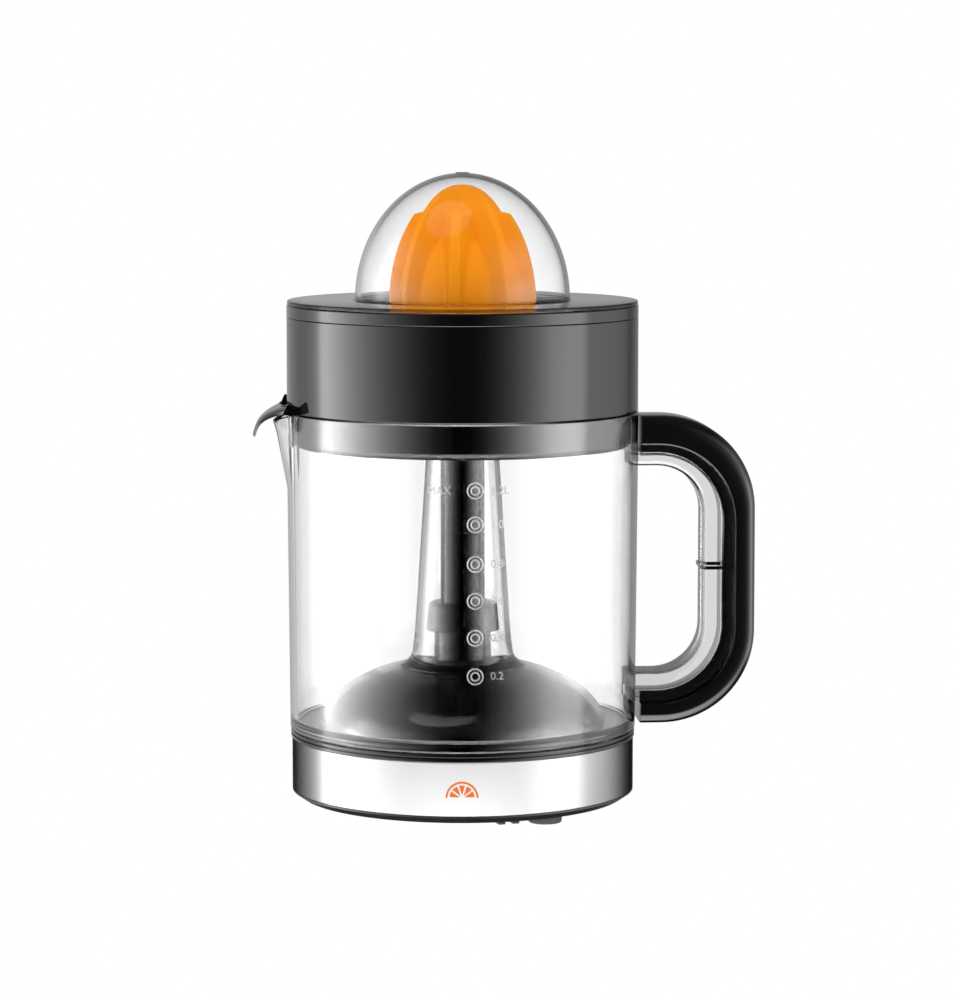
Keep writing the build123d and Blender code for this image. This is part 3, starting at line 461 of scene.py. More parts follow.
@dataclass(frozen=True)
class Finish:
    """A finish of one material: its slot in the record, two close colours, a roughness range and a grain."""

    name: str
    slot: str
    light: tuple[float, float, float]
    dark: tuple[float, float, float]
    smooth: float
    rough: float
    grain: Grain = Grain.MOULDED
    grain_scale: float = 45.0
    bump: float = 0.02
    metallic: float = 0.0
    transmission: float = 0.0
    ior: float = 1.5
    subsurface: float = 0.0
    anisotropy: float = 0.0
    absorption: float = 0.0
    specular: float = 0.5
    edge: float = 1.0

    def build(self) -> bpy.types.Material:
        """Builds the material and returns it."""
        material = bpy.data.materials.new(self.name)
        material.use_nodes = True
        tree = material.node_tree
        shader = tree.nodes["Principled BSDF"]
        for label, value in (("Metallic", self.metallic), ("Transmission Weight", self.transmission),
                             ("IOR", self.ior), ("Specular IOR Level", self.specular),
                             ("Specular Tint", (self.edge, self.edge, self.edge, 1.0))):
            shader.inputs[label].default_value = value
        skin = tree.nodes.new("ShaderNodeGroup")
        skin.node_tree = bpy.data.node_groups[self.grain.value]
        skin.inputs["Smooth"].default_value = self.smooth
        skin.inputs["Rough"].default_value = self.rough
        if self.grain is Grain.MOULDED:
            skin.inputs["Scale"].default_value = self.grain_scale
        tree.links.new(skin.outputs["Roughness"], shader.inputs["Roughness"])
        mix = tree.nodes.new("ShaderNodeMix")
        mix.data_type = "RGBA"
        mix.inputs["A"].default_value = (*self.dark, 1.0)
        mix.inputs["B"].default_value = (*self.light, 1.0)
        tree.links.new(skin.outputs["Tint"], mix.inputs["Factor"])
        tree.links.new(mix.outputs["Result"], shader.inputs["Base Color"])
        if self.bump > 0:
            bump = tree.nodes.new("ShaderNodeBump")
            bump.inputs["Strength"].default_value = self.bump
            bump.inputs["Distance"].default_value = 0.0002
            tree.links.new(skin.outputs["Height"], bump.inputs["Height"])
            tree.links.new(bump.outputs["Normal"], shader.inputs["Normal"])
        if self.absorption > 0:
            volume = tree.nodes.new("ShaderNodeVolumeAbsorption")
            volume.inputs["Color"].default_value = (0.30, 0.31, 0.32, 1.0)
            volume.inputs["Density"].default_value = self.absorption
            tree.links.new(volume.outputs[0], tree.nodes["Material Output"].inputs["Volume"])
        if self.anisotropy > 0:
            shader.inputs["Anisotropic"].default_value = self.anisotropy
            shader.inputs["Anisotropic Rotation"].default_value = 0.25
            along = tree.nodes.new("ShaderNodeTangent")
            along.direction_type, along.uv_map = "UV_MAP", WRAP_MAP
            tree.links.new(along.outputs[0], shader.inputs["Tangent"])
        if self.subsurface > 0:
            shader.inputs["Subsurface Weight"].default_value = self.subsurface
            shader.inputs["Subsurface Scale"].default_value = 0.002
        return material


FINISHES = (
    Finish("clear_plastic", "clear_plastic", (0.995, 0.995, 0.995), (0.985, 0.985, 0.985), 0.0, 0.015,
           bump=0.0, transmission=1.0, ior=1.49, absorption=28.0),
    Finish("clear_cover", "clear_plastic", (0.995, 0.995, 0.995), (0.985, 0.985, 0.985), 0.0, 0.015,
           bump=0.0, transmission=1.0, ior=1.27, absorption=40.0),
    Finish("clear_mark", "clear_plastic", (0.9, 0.9, 0.9), (0.8, 0.8, 0.8), 0.2, 0.35, bump=0.05,
           transmission=0.85, ior=1.46),
    Finish("black_gloss", "black_plastic", (0.0022, 0.0022, 0.0023), (0.0016, 0.0016, 0.0017), 0.05, 0.09,
           bump=0.015),
    Finish("black_satin", "black_plastic", (0.005, 0.005, 0.0053), (0.0035, 0.0035, 0.0037), 0.28, 0.38,
           bump=0.08),
    Finish("orange_gloss", "orange_plastic", (0.93, 0.31, 0.006), (0.88, 0.28, 0.004), 0.14, 0.2, bump=0.02,
           subsurface=0.05, specular=0.08),
    Finish("brushed_steel", "brushed_steel", (0.56, 0.56, 0.56), (0.46, 0.46, 0.47), 0.36, 0.42,
           grain=Grain.BRUSHED, bump=0.1, metallic=1.0, anisotropy=0.98, edge=0.0),
    Finish("zinc_steel", "zinc_steel", (0.66, 0.67, 0.69), (0.52, 0.53, 0.55), 0.25, 0.42,
           grain_scale=220.0, bump=0.05, metallic=1.0),
    Finish("brass", "brass", (0.78, 0.60, 0.28), (0.66, 0.48, 0.20), 0.2, 0.34, grain_scale=260.0,
           metallic=1.0),
    Finish("copper", "copper", (0.76, 0.34, 0.16), (0.60, 0.24, 0.10), 0.22, 0.36, grain_scale=600.0,
           bump=0.2, metallic=1.0),
    Finish("lamination_steel", "lamination_steel", (0.22, 0.22, 0.24), (0.12, 0.12, 0.13), 0.4, 0.6,
           grain_scale=300.0, bump=0.2, metallic=0.7),
    Finish("gear_plastic", "gear_plastic", (0.80, 0.78, 0.72), (0.72, 0.70, 0.64), 0.35, 0.5,
           grain_scale=180.0, bump=0.05),
    Finish("rubber", "rubber", (0.030, 0.030, 0.030), (0.016, 0.016, 0.016), 0.6, 0.8, grain_scale=240.0,
           bump=0.2),
    Finish("lead_insulation", "lead_insulation", (0.05, 0.12, 0.42), (0.03, 0.08, 0.30), 0.4, 0.55,
           grain_scale=200.0),
    Finish("print_orange", "orange_plastic", (0.50, 0.115, 0.015), (0.46, 0.10, 0.015), 0.35, 0.45,
           bump=0.0, specular=0.1),
)


class Workshop:
    """Holds the finishes and the shared node trees, and dresses and mounts pieces."""

    def __init__(self) -> None:
        """Builds the shader groups, the materials and the radial array."""
        moulded_skin()
        brushed_grain()
        self.finishes = {finish.name: finish.build() for finish in FINISHES}
        self.slots = {finish.name: finish.slot for finish in FINISHES}
        self.array = RadialArray()

    def fit(self, piece: Piece, finish: str, body: Body, *nodes: str) -> Piece:
        """Gives a piece its finish and its body, and lets it stand for CAD nodes.

        Args:
            piece: the finished object.
            finish: name of its finish.
            body: the body it rides on.
            nodes: CAD nodes that it replaces.

        Returns:
            The piece.
        """
        piece.data.materials.clear()
        piece.data.materials.append(self.finishes[finish])
        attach(piece, body.value)
        if nodes:
            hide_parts(*nodes)
        LOG.info("%s: %d faces on %s", piece.name, len(piece.data.polygons), body.value)
        return piece

    def repaint(self, node: str, finish: str) -> None:
        """Gives a CAD node that stays a procedural finish."""
        piece = frame["nodes"][node]
        piece.data.materials.clear()
        piece.data.materials.append(self.finishes[finish])


# ---------------------------------------------------------------- sub-assemblies

@dataclass
class Base:
    """Housing with its dome and boss, steel band, bottom plate, feet and what stays as CAD."""

    skirt_r: Pair = (65.6, 67.9)
    skirt_z: Pair = (6.6, 27.75)
    ceiling: Pair = (53.0, 28.7)
    bore_r: float = 8.1
    lid: float = 2.3
    band_r: float = 68.9
    band_in: float = 68.0
    band_z: Pair = (6.7, 27.7)
    collar_r: float = 69.4
    collar_top: float = 31.0
    groove: Pair = (29.1, 29.7)
    dome: Pair = (55.3, 25.2)
    boss_r: float = 11.2
    boss_top: float = 76.4
    plate_z: Pair = (3.4, 6.5)
    foot_r: float = 6.8
    foot_ring_r: float = 55.6
    peg_r: float = 3.0
    peg_top: float = 8.0
    foot_angles: tuple[float, ...] = (-58.3, 61.7, 181.7)
    emblem_turn: float = -94.2
    emblem_z: float = 17.0
    peel_r: Pair = (5.6, 6.4)
    flesh_r: float = 4.9
    pip_r: float = 0.9
    wedges: int = 5

    def housing(self) -> Piece:
        """Collar, domed lid, boss and skirt."""
        rise, top = self.dome, self.collar_top
        crown = ellipse(rise[0], rise[1], top, top, top + rise[1] * 0.955, 40)
        inner = ellipse(rise[0] - self.lid, rise[1] - self.lid, top, top, top + (rise[1] - self.lid) * 0.97, 24)
        (inside, outside), (foot, ledge), (low, high) = self.skirt_r, self.skirt_z, self.groove
        corners = [(outside, foot, 0), (outside, ledge, 0), (self.collar_r, ledge, 0.35),
                   (self.collar_r, low, 0.2), (self.collar_r - 1.0, low, 0), (self.collar_r - 1.0, high, 0),
                   (self.collar_r, high, 0.2), (self.collar_r, top, 0.45), *crown,
                   (self.boss_r + 0.2, top + rise[1] + 1.6, 2.5), (self.boss_r, self.boss_top, 0.6),
                   (self.bore_r, self.boss_top, 0), (self.bore_r, top + 20, 0), *inner[::-1],
                   (self.ceiling[0], self.ceiling[1], 0), (inside, self.ceiling[1], 0), (inside, foot, 0)]
        return Shape("housing").turned(corners, count=256).make(30)

    def band(self) -> Piece:
        """Brushed sleeve."""
        low, high = self.band_z
        corners = [(self.band_in, low, 0), (self.band_r, low, 0.3), (self.band_r, high, 0.3),
                   (self.band_in, high, 0)]
        return wrap_map(Shape("band").turned(corners, count=256).make(50))

    def feet(self) -> Piece:
        """Three feet with a shallow ring in their soles."""
        shape = Shape("feet")
        for angle in self.foot_angles:
            centre = (self.foot_ring_r * cos(radians(angle)), self.foot_ring_r * sin(radians(angle)))
            peg, root, top = self.peg_r, self.plate_z[0], self.peg_top
            corners = [(0, 0.5, 0), (3.6, 0.5, 0), (4.1, 0.0, 0.3), (self.foot_r - 0.3, 0.0, 0.8),
                       (self.foot_r, root, 0.2), (peg, root, 0), (peg, top, 0.4), (0, top, 0)]
            shape.turned(corners, closed=False, count=64, centre=centre)
        return shape.make(40)

    def emblem(self) -> Piece:
        """A generic half slice of fruit printed on the band."""
        shape = Shape("emblem")
        ring = [(cos(a), sin(a)) for a in [pi * i / 40 for i in range(41)]]
        inner, outer = self.peel_r
        peel = [(x * outer, z * outer) for x, z in ring] + [(x * inner, z * inner) for x, z in ring[::-1]]
        self._print(shape, peel)
        for i in range(self.wedges):
            low, high = (pi / self.wedges * (i + share) for share in (1 / 9, 8 / 9))
            turns, middle = [low + (high - low) * k / 8 for k in range(9)], (low + high) / 2
            arc = [(self.flesh_r * cos(a), self.flesh_r * sin(a)) for a in turns]
            self._print(shape, [(self.pip_r * cos(middle), self.pip_r * sin(middle)), *arc])
        return shape.make(60)

    def _print(self, shape: Shape, outline: list[Pair]) -> None:
        """Adds a flat outline, laid round the band as a thin print."""
        rows: list[list[Point]] = []
        for radius in (self.band_r - 0.01, self.band_r + 0.04):
            row = []
            for x, z in outline:
                angle = radians(self.emblem_turn) + x / self.band_r
                row.append((radius * cos(angle), radius * sin(angle), self.emblem_z - 3.0 + z))
            rows.append(row)
        shape.loft(rows)

    def build(self, shop: Workshop) -> None:
        """Builds and dresses the base."""
        shop.fit(self.housing(), "black_gloss", Body.BASE, "base_housing")
        shop.fit(self.band(), "brushed_steel", Body.BASE, "steel_band")
        shop.fit(self.feet(), "rubber", Body.BASE, "rubber_feet")
        shop.fit(self.emblem(), "print_orange", Body.BASE)
        shop.repaint("bottom_plate", "black_satin")
        shop.repaint("cord_clip", "black_satin")


@dataclass
class Spindle:
    """Drive spindle and the upper shaft above it."""

    stem_r: float = 8.9
    skirt: tuple[float, float, float, float] = (14.8, 13.8, 70.4, 81.3)
    joint_z: Pair = (109.4, 109.8)
    hex_drive: Pair = (11.0, 124.0)
    hex_cone: Pair = (13.0, 222.0)
    seat_z: float = 190.0
    skirt_in: float = 12.4
    shaft_hole: float = 4.1
    tube_in: float = 6.0

    def _hexagon(self, across: float) -> list[Pair]:
        """Outline of a hexagon in plan."""
        reach = across / sqrt(3)
        return [(reach * cos(a), reach * sin(a)) for a in even_angles(6)]

    def drive(self) -> Piece:
        """Skirt, stem and hexagon."""
        low_r, top_r, low_z, top_z = self.skirt
        corners = [(self.skirt_in, low_z, 0.2), (low_r, low_z, 0.5), (top_r, top_z, 0.9),
                   (self.stem_r, top_z, 0.5), (self.stem_r, self.joint_z[0], 0.35),
                   (self.shaft_hole, self.joint_z[0], 0), (self.shaft_hole, top_z - 2.0, 0),
                   (self.skirt_in, top_z - 2.0, 0.4)]
        shape = Shape("spindle").turned(corners, count=128)
        return shape.prism(self._hexagon(self.hex_drive[0]), self.joint_z[0] - 1, self.hex_drive[1]).make(35)

    def upper(self) -> Piece:
        """Tube with a socket at its foot and a hexagon on top."""
        socket = self.hex_drive[0] / sqrt(3) + 0.1
        foot, roof = self.joint_z[1], self.hex_drive[1] + 0.4
        corners = [(socket, foot, 0.2), (self.stem_r, foot, 0.35), (self.stem_r, self.seat_z, 0.4),
                   (self.tube_in, self.seat_z, 0), (self.tube_in, roof, 0), (socket, roof, 0)]
        shape = Shape("upper_shaft_tube").turned(corners, count=128)
        return shape.prism(self._hexagon(self.hex_cone[0]), self.seat_z - 1, self.hex_cone[1]).make(35)

    def build(self, shop: Workshop) -> None:
        """Builds and dresses both shafts."""
        shop.fit(self.drive(), "black_gloss", Body.SPINDLE, "drive_spindle")
        shop.fit(self.upper(), "black_gloss", Body.UPPER_SHAFT, "cone_shaft")


@dataclass
class Jug:
    """Clear jug with its spout, domed floor, column, handle and capacity scale."""

    foot: Pair = (69.6, 31.05)
    rim: Pair = (70.6, 159.0)
    wall: float = 2.4
    dome: Pair = (58.0, 28.0)
    dome_base: float = 31.0
    column: tuple[float, float, float, float] = (19.3, 66.0, 14.1, 150.0)
    spout_foot: float = 128.0
    spout_out: float = 5.6
    spout_half: float = 12.5
    spout_drop: float = 3.4
    core_out: Track = (108.8, 40.8, 145.4, 31.0)
    core_in: Track = (96.5, 53.1, 136.8, 19.0)
    shell_out: Track = (117.3, 32.6, 157.0, 37.5)
    core_half: float = 10.0
    tongue_half: float = 7.6
    shell_half: float = 13.0
    clip_z: Pair = (94.8, 96.1)
    marks: tuple[tuple[float, str], ...] = ((61.6, "0.2"), (76.6, "0.4"), (91.0, "0.6"), (105.3, "0.8"),
                                            (120.6, "1.0"), (133.7, "1.2L"))
    root: Pair = (69.0, 71.0)
    groove_depth: float = 0.58
    mark_r: float = 3.3
    text_h: float = 4.3

    def spread(self, angle: float, z: float) -> float:
        """How far the spout pushes the wall out at an angle and a height."""
        off = abs(angle % tau - pi) / radians(self.spout_half)
        rise = (z - self.spout_foot) / (self.rim[1] - self.spout_foot)
        if off >= 1 or rise <= 0:
            return 0.0
        ridge = 1 - sqrt(off * off + 0.012) + 0.11
        edge = min(1.0, (1 - off) / 0.12)
        return max(0.0, self.spout_out * rise * ridge * edge)

    def body(self) -> Piece:
        """Wall, spout, floor and column as one turned surface that the spout bends."""
        col_r, col_z, top_r, top_z = self.column
        base, (dome_r, dome_h) = self.dome_base, self.dome
        floor = self.foot[1] + self.wall
        heights = [self.spout_foot + (self.rim[1] - self.spout_foot) * i / 10 for i in range(10)]
        out_wall = [(self._wall_r(z), z, 0) for z in heights]
        in_wall = [(self._wall_r(z) - self.wall, z, 0) for z in heights[::-1]]
        upper = ellipse(dome_r, dome_h, base, floor, base + dome_h * 0.91, 36)
        lower = ellipse(dome_r - 2.1, dome_h - 2.1, base, base, base + (dome_h - 2.1) * 0.93, 32)
        corners = [(self.foot[0], self.foot[1], 1.2), *out_wall, (self.rim[0], self.rim[1], 0.7),
                   (self.rim[0] - self.wall, self.rim[1], 0.7), *in_wall,
                   (self.foot[0] - self.wall, floor, 3.0), *upper,
                   (col_r + 1.2, base + dome_h + 0.6, 6.0), (col_r, col_z + 3.0, 6.0),
                   (top_r, top_z, 0.6), (top_r - 2.0, top_z, 0.4), (col_r - 2.0, col_z, 4.0), *lower[::-1],
                   (dome_r - 2.1, self.foot[1], 0)]
        fine = [pi + radians(self.spout_half * 1.1 * i / 28) for i in range(-28, 29)]
        angles = sorted(even_angles(180) + fine)
        angles = [a for i, a in enumerate(angles) if i == 0 or a - angles[i - 1] > 1e-3]
        rows = []
        for r, z in rounded(corners, True, 6):
            row = []
            for angle in angles:
                push = self.spread(angle, z) if r > 60 else 0.0
                low = self.spout_drop * push / self.spout_out if z > self.rim[1] - 9 else 0.0
                share = max(0.0, (z - self.rim[1] + 9) / 9)
                reach = r + push
                row.append((reach * cos(angle), reach * sin(angle), z - low * share))
            rows.append(row)
        return Shape("jug_moulding").grid(rows, True, True).make(40)

    def _wall_r(self, z: float) -> float:
        """Outer radius of the wall at a height."""
        share = (z - self.foot[1]) / (self.rim[1] - self.foot[1])
        return self.foot[0] + (self.rim[0] - self.foot[0]) * share

    def _loop(self, track: Track, start: float, bend: int = 24) -> list[Vector]:
        """The handle's outline seen from the side, from its upper root round to its lower root.

        Args:
            track: outer x, lower z, upper z and corner radius.
            start: x of both roots.
            bend: number of pieces in each corner.

        Returns:
            Points in the X-Z plane.
        """
        x, low, high, corner = track
        points = [Vector((start + (x - corner - start) * i / 8, 0, high)) for i in range(8)]
        points += [Vector((x - corner + corner * sin(a), 0, high - corner + corner * cos(a)))
                   for a in [pi / 2 * i / bend for i in range(bend + 1)]]
        side = (high - low - 2 * corner) / 12
        points += [Vector((x, 0, high - corner - side * i)) for i in range(1, 12)]
        points += [Vector((x - corner + corner * cos(a), 0, low + corner - corner * sin(a)))
                   for a in [pi / 2 * i / bend for i in range(bend + 1)]]
        points += [Vector((x - corner - (x - corner - start) * i / 8, 0, low)) for i in range(1, 9)]
        return points

    def _sweep(self, name: str, inner: list[Vector], outer: list[Vector],
               section: list[Corner]) -> Piece:
        """Lofts a section along the handle.

        Args:
            name: name of the piece.
            inner: points where the section's depth is 0.
            outer: points where the section's depth is 1.
            section: (share of depth, y, fillet) corners; depths outside 0 to 1 are millimetres beyond the ends.

        Returns:
            The piece.
        """
        sections = []
        for low, high in zip(inner, outer):
            reach = high - low
            way = reach.normalized()
            outline = [(d * reach.length if 0 <= d <= 1 else (d if d < 0 else reach.length + d - 1), y, f)
                       for d, y, f in section]
            ring = []
            for depth, y in rounded(outline, True, 6):
                spot = low + way * depth
                ring.append((spot.x, y, spot.z))
            sections.append(ring)
        return Shape(name).loft(sections).make(40)

    def handle_core(self) -> Piece:
        """Clear inner part of the handle, a channel open to the outside."""
        inner, outer = (self._loop(track, self.root[0]) for track in (self.core_in, self.core_out))
        h, t, deep = self.core_half, self.tongue_half, self.groove_depth
        section = [(0.0, -h, 2.6), (0.0, h, 2.6), (1.0, h, 0.3), (1.0, t, 0), (deep, t, 0.5), (deep, -t, 0.5),
                   (1.0, -t, 0), (1.0, -h, 0.3)]
        return self._sweep("jug_handle_core", inner, outer, section)

    def handle_shell(self) -> Piece:
        """Dark channel with rounded flanks, and the tongue in the clear groove."""
        inner, outer = (self._loop(track, self.root[1]) for track in (self.core_out, self.shell_out))
        h, t = self.shell_half, self.tongue_half - 0.25
        section = [(0.0, -h, 0.8), (0.0, -t, 0), (-4.6, -t, 0.6), (-4.6, t, 0.6), (0.0, t, 0), (0.0, h, 0.8),
                   (1.0, h, 6.5), (1.0, -h, 6.5)]
        return self._sweep("handle_cover", inner, outer, section)

    def handle_strap(self) -> Piece:
        """Thin strap round the clear part."""
        low, high = self.clip_z
        x_in, x_out, h = self.core_in[0], self.core_out[0], self.core_half
        def outline(pad: float) -> list[Pair]:
            corners = [(x_out - 0.1, -h - pad, 0), (x_in - pad, -h - pad, 2.6 + pad),
                       (x_in - pad, h + pad, 2.6 + pad), (x_out - 0.1, h + pad, 0)]
            return rounded(corners, False, 8)
        band = outline(0.8) + outline(0.02)[::-1]
        return Shape("handle_strap").prism(band, low, high).make(40)

    def rings(self) -> Piece:
        """Raised double rings of the capacity scale."""
        shape = Shape("scale_rings")
        for z, _ in self.marks:
            for radius in (self.mark_r - 0.3, 1.6):
                rows = []
                for k in range(8):
                    tube = tau * k / 8
                    ring_r, lift = radius + 0.28 * cos(tube), 0.22 * sin(tube)
                    rows.append([self._on_wall(ring_r * cos(a), z + ring_r * sin(a), lift)
                                 for a in even_angles(48)])
                shape.grid(rows, True, True)
        return shape.make(60)

    def _on_wall(self, x: float, z: float, lift: float) -> Point:
        """A point on the front of the wall, x millimetres to the right of the scale."""
        radius = self._wall_r(z) + lift
        angle = -pi / 2 + x / self._wall_r(z)
        return radius * cos(angle), radius * sin(angle), z

    def text(self, words: str, x: float, z: float, right: bool) -> Piece:
        """A raised word or number on the wall.

        Args:
            words: the text.
            x: its near end, to the right of the scale.
            z: height of its middle.
            right: whether it runs to the right of x.

        Returns:
            The mesh, wrapped round the wall.
        """
        curve = bpy.data.curves.new("scale_text", "FONT")
        curve.body, curve.size, curve.extrude = words, self.text_h, 0.25
        curve.align_x, curve.align_y, curve.offset = ("LEFT" if right else "RIGHT"), "CENTER", 0.0
        holder = bpy.data.objects.new("scale_text", curve)
        bpy.context.collection.objects.link(holder)
        piece = plain_mesh(holder, f"scale_{words}".replace(".", "_"))
        for vert in piece.data.vertices:
            spot = self._on_wall(x + vert.co.x, z + vert.co.y, vert.co.z)
            vert.co = Vector((spot[0] + AXIS_X, spot[1], spot[2])) * MM
        return piece

    def build(self, shop: Workshop) -> None:
        """Builds and dresses the jug."""
        shop.fit(self.body(), "clear_plastic", Body.JUG, "jug")
        shop.fit(self.handle_core(), "clear_plastic", Body.JUG)
        shop.fit(self.handle_shell(), "black_gloss", Body.JUG, "handle_shell")
        shop.fit(self.handle_strap(), "black_gloss", Body.JUG, "handle_clip")
        shop.fit(self.rings(), "clear_mark", Body.JUG)
        for z, words in self.marks:
            shop.fit(self.text(words, self.mark_r + 2.6, z, True), "clear_mark", Body.JUG)
        top = self.marks[-1][0]
        shop.fit(self.text("MAX", -self.mark_r - 6.0, top, False), "clear_mark", Body.JUG)


@dataclass
class Collector:
    """Dark ring with its spigot, floor and central tube, and the ears of the flap."""

    outer: float = 70.4
    spigot: float = 67.6
    band_z: Pair = (159.3, 196.6)
    spigot_z: float = 145.0
    thick: float = 2.2
    sleeve_r: Pair = (14.6, 16.6)
    sleeve_z: Pair = (150.8, 153.0)
    tube: tuple[float, float, float] = (9.8, 11.4, 181.0)
    slot_r: Pair = (21.0, 33.0)
    slots: int = 12
    slot_w: float = 3.6
    ear_y: float = 24.6
    ear_t: float = 1.6
    hinge: Pair = (-70.6, 161.2)

    def bowl(self) -> Piece:
        """Band, spigot and outer floor."""
        low, high = self.band_z
        top = self.spigot_z + self.thick
        bottom, edge, step = self.spigot_z, self.slot_r[1], low + 3
        inner, neck = self.outer - self.thick, self.spigot - self.thick
        corners = [(edge, bottom, 0), (self.spigot, bottom, 3.0), (self.spigot, low, 0.2),
                   (self.outer, low, 0.5), (self.outer, high, 0.35), (inner, high, 0.3), (inner, step, 0.5),
                   (neck, step, 0.5),
                   (neck, top, 2.0), (edge, top, 0)]
        return Shape("collector_ring").turned(corners, count=256).make(40)

    def tower(self) -> Piece:
        """Inner floor, sleeve over the column and the tube round the shaft."""
        bottom, top = self.spigot_z, self.spigot_z + self.thick
        (inside, outside), (roof, shelf) = self.sleeve_r, self.sleeve_z
        bore, tube, head = self.tube
        corners = [(self.slot_r[0], bottom, 0), (self.slot_r[0], top, 0), (outside, top, 0.8),
                   (outside, shelf, 0.6), (tube, shelf, 0.6), (tube, head, 0.5), (bore, head, 0.3),
                   (bore, roof, 0), (inside, roof, 0), (inside, bottom, 0.3)]
        return Shape("collector_tower").turned(corners, count=128).make(40)

    def floor_part(self) -> Piece:
        """One piece of floor between two drain slots."""
        shape, rows = Shape("floor_part"), []
        half = pi / self.slots
        for z in (self.spigot_z, self.spigot_z + self.thick):
            row = []
            for radius, way in ((self.slot_r[0] - 0.2, 1), (self.slot_r[1] + 0.2, -1)):
                gap = self.slot_w / 2 / radius
                sweep = [(-half + gap) + (2 * half - 2 * gap) * i / 8 for i in range(9)]
                row += [(radius * cos(a), radius * sin(a), z) for a in sweep[::way]]
            rows.append(row)
        return shape.loft(rows).make(30)

    def ears(self) -> Piece:
        """Two flat ears that hold the flap's pins."""
        wall = -sqrt(self.outer ** 2 - self.ear_y ** 2)
        hinge_x, low = self.hinge[0], self.band_z[0]
        corners = [(wall + 1.5, low, 0), (hinge_x - 2.2, low, 0.5), (hinge_x - 0.2, 163.9, 0.7),
                   (wall + 1.5, 162.0, 0)]
        outline = rounded(corners, True, 5)
        shape = Shape("flap_ears")
        for side in (-1, 1):
            rows = [[(x, side * self.ear_y + t, z) for x, z in outline]
                    for t in (-self.ear_t / 2, self.ear_t / 2)]
            shape.loft(rows)
        return shape.make(30)

    def build(self, shop: Workshop) -> None:
        """Builds and dresses the collector."""
        shop.fit(self.bowl(), "black_gloss", Body.COLLECTOR, "collector")
        shop.fit(self.tower(), "black_gloss", Body.COLLECTOR)
        shop.fit(self.ears(), "black_gloss", Body.COLLECTOR)
        floor = shop.array.repeat(self.floor_part(), "collector_floor", self.slots,
                                  shop.finishes["black_gloss"])
        shop.fit(floor, "black_gloss", Body.COLLECTOR)


@dataclass
class SpoutFlap:
    """Beaked flap above the spout, with a pin in each ear."""

    half_w: float = 23.4
    tip_half: float = 3.2
    thickness: float = 1.5
    hinge: Pair = (-70.6, 161.2)
    pin_r: float = 0.88
    pin_y: Pair = (22.0, 25.7)
    wall_r: float = 71.3
    swing: float = 58.0
    line: tuple[Pair, ...] = ((-68.0, 162.2), (-71.0, 162.2), (-75.6, 160.5), (-79.4, 158.3),
                                             (-81.9, 155.9), (-83.2, 153.0), (-84.0, 150.3))

    def plate(self) -> Piece:
        """The curved beak, lofted from its root to its tip."""
        top = self._smooth([Vector((x, z)) for x, z in self.line], 4)
        rows, count = [], 24
        for i, spot in enumerate(top):
            share = (self.line[0][0] + 3.0 - spot.x) / (self.line[0][0] + 3.0 - self.line[-1][0])
            half = self.half_w if share < 0.3 else self.tip_half + (self.half_w - self.tip_half) * (
                1 - ((share - 0.3) / 0.7) ** 1.15)
            ahead = top[min(i + 1, len(top) - 1)] - top[max(i - 1, 0)]
            normal = Vector((ahead.y, -ahead.x)).normalized()
            if normal.y < 0:
                normal.negate()
            thin = self.thickness * (1 - 0.45 * share)
            ring: list[Point] = []
            for layer, way in ((0.0, 1), (-thin, -1)):
                for k in range(count + 1)[::way]:
                    y = half * (2 * k / count - 1)
                    droop = 1.1 * (y / half) ** 4
                    x, z = spot.x + normal.x * layer, spot.y + normal.y * layer - droop
                    ring.append((min(x, self._limit(y, z)), y, z))
            rows.append(ring)
        shape = Shape("beak").loft(rows)
        return shape.make(35)

    def _limit(self, y: float, z: float) -> float:
        """How near to the collector a point may stand so that it clears the wall all the way up."""
        wall = -sqrt(self.wall_r ** 2 - y * y)
        swung = radians(self.swing)
        turned = self.hinge[0] + (wall - self.hinge[0] - (z - self.hinge[1]) * sin(swung)) / cos(swung)
        return min(wall, turned)

    def pins(self) -> Piece:
        """Stub pins that turn in the ears."""
        shape = Shape("flap_pins")
        for side in (-1, 1):
            rows = [[(self.hinge[0] + self.pin_r * cos(a), side * y, self.hinge[1] + self.pin_r * sin(a))
                     for a in even_angles(24)] for y in self.pin_y]
            shape.loft(rows)
        return shape.make(40)

    def _smooth(self, points: list[Vector], rounds: int) -> list[Vector]:
        """Rounds a line by cutting its corners, keeping both ends."""
        for _ in range(rounds):
            cut = [points[0]]
            for here, there in zip(points, points[1:]):
                cut += [here.lerp(there, 0.25), here.lerp(there, 0.75)]
            points = cut + [points[-1]]
        return points

    def build(self, shop: Workshop) -> None:
        """Builds and dresses the flap."""
        shop.fit(self.plate(), "black_gloss", Body.FLAP, "spout_flap")
        shop.fit(self.pins(), "black_gloss", Body.FLAP)


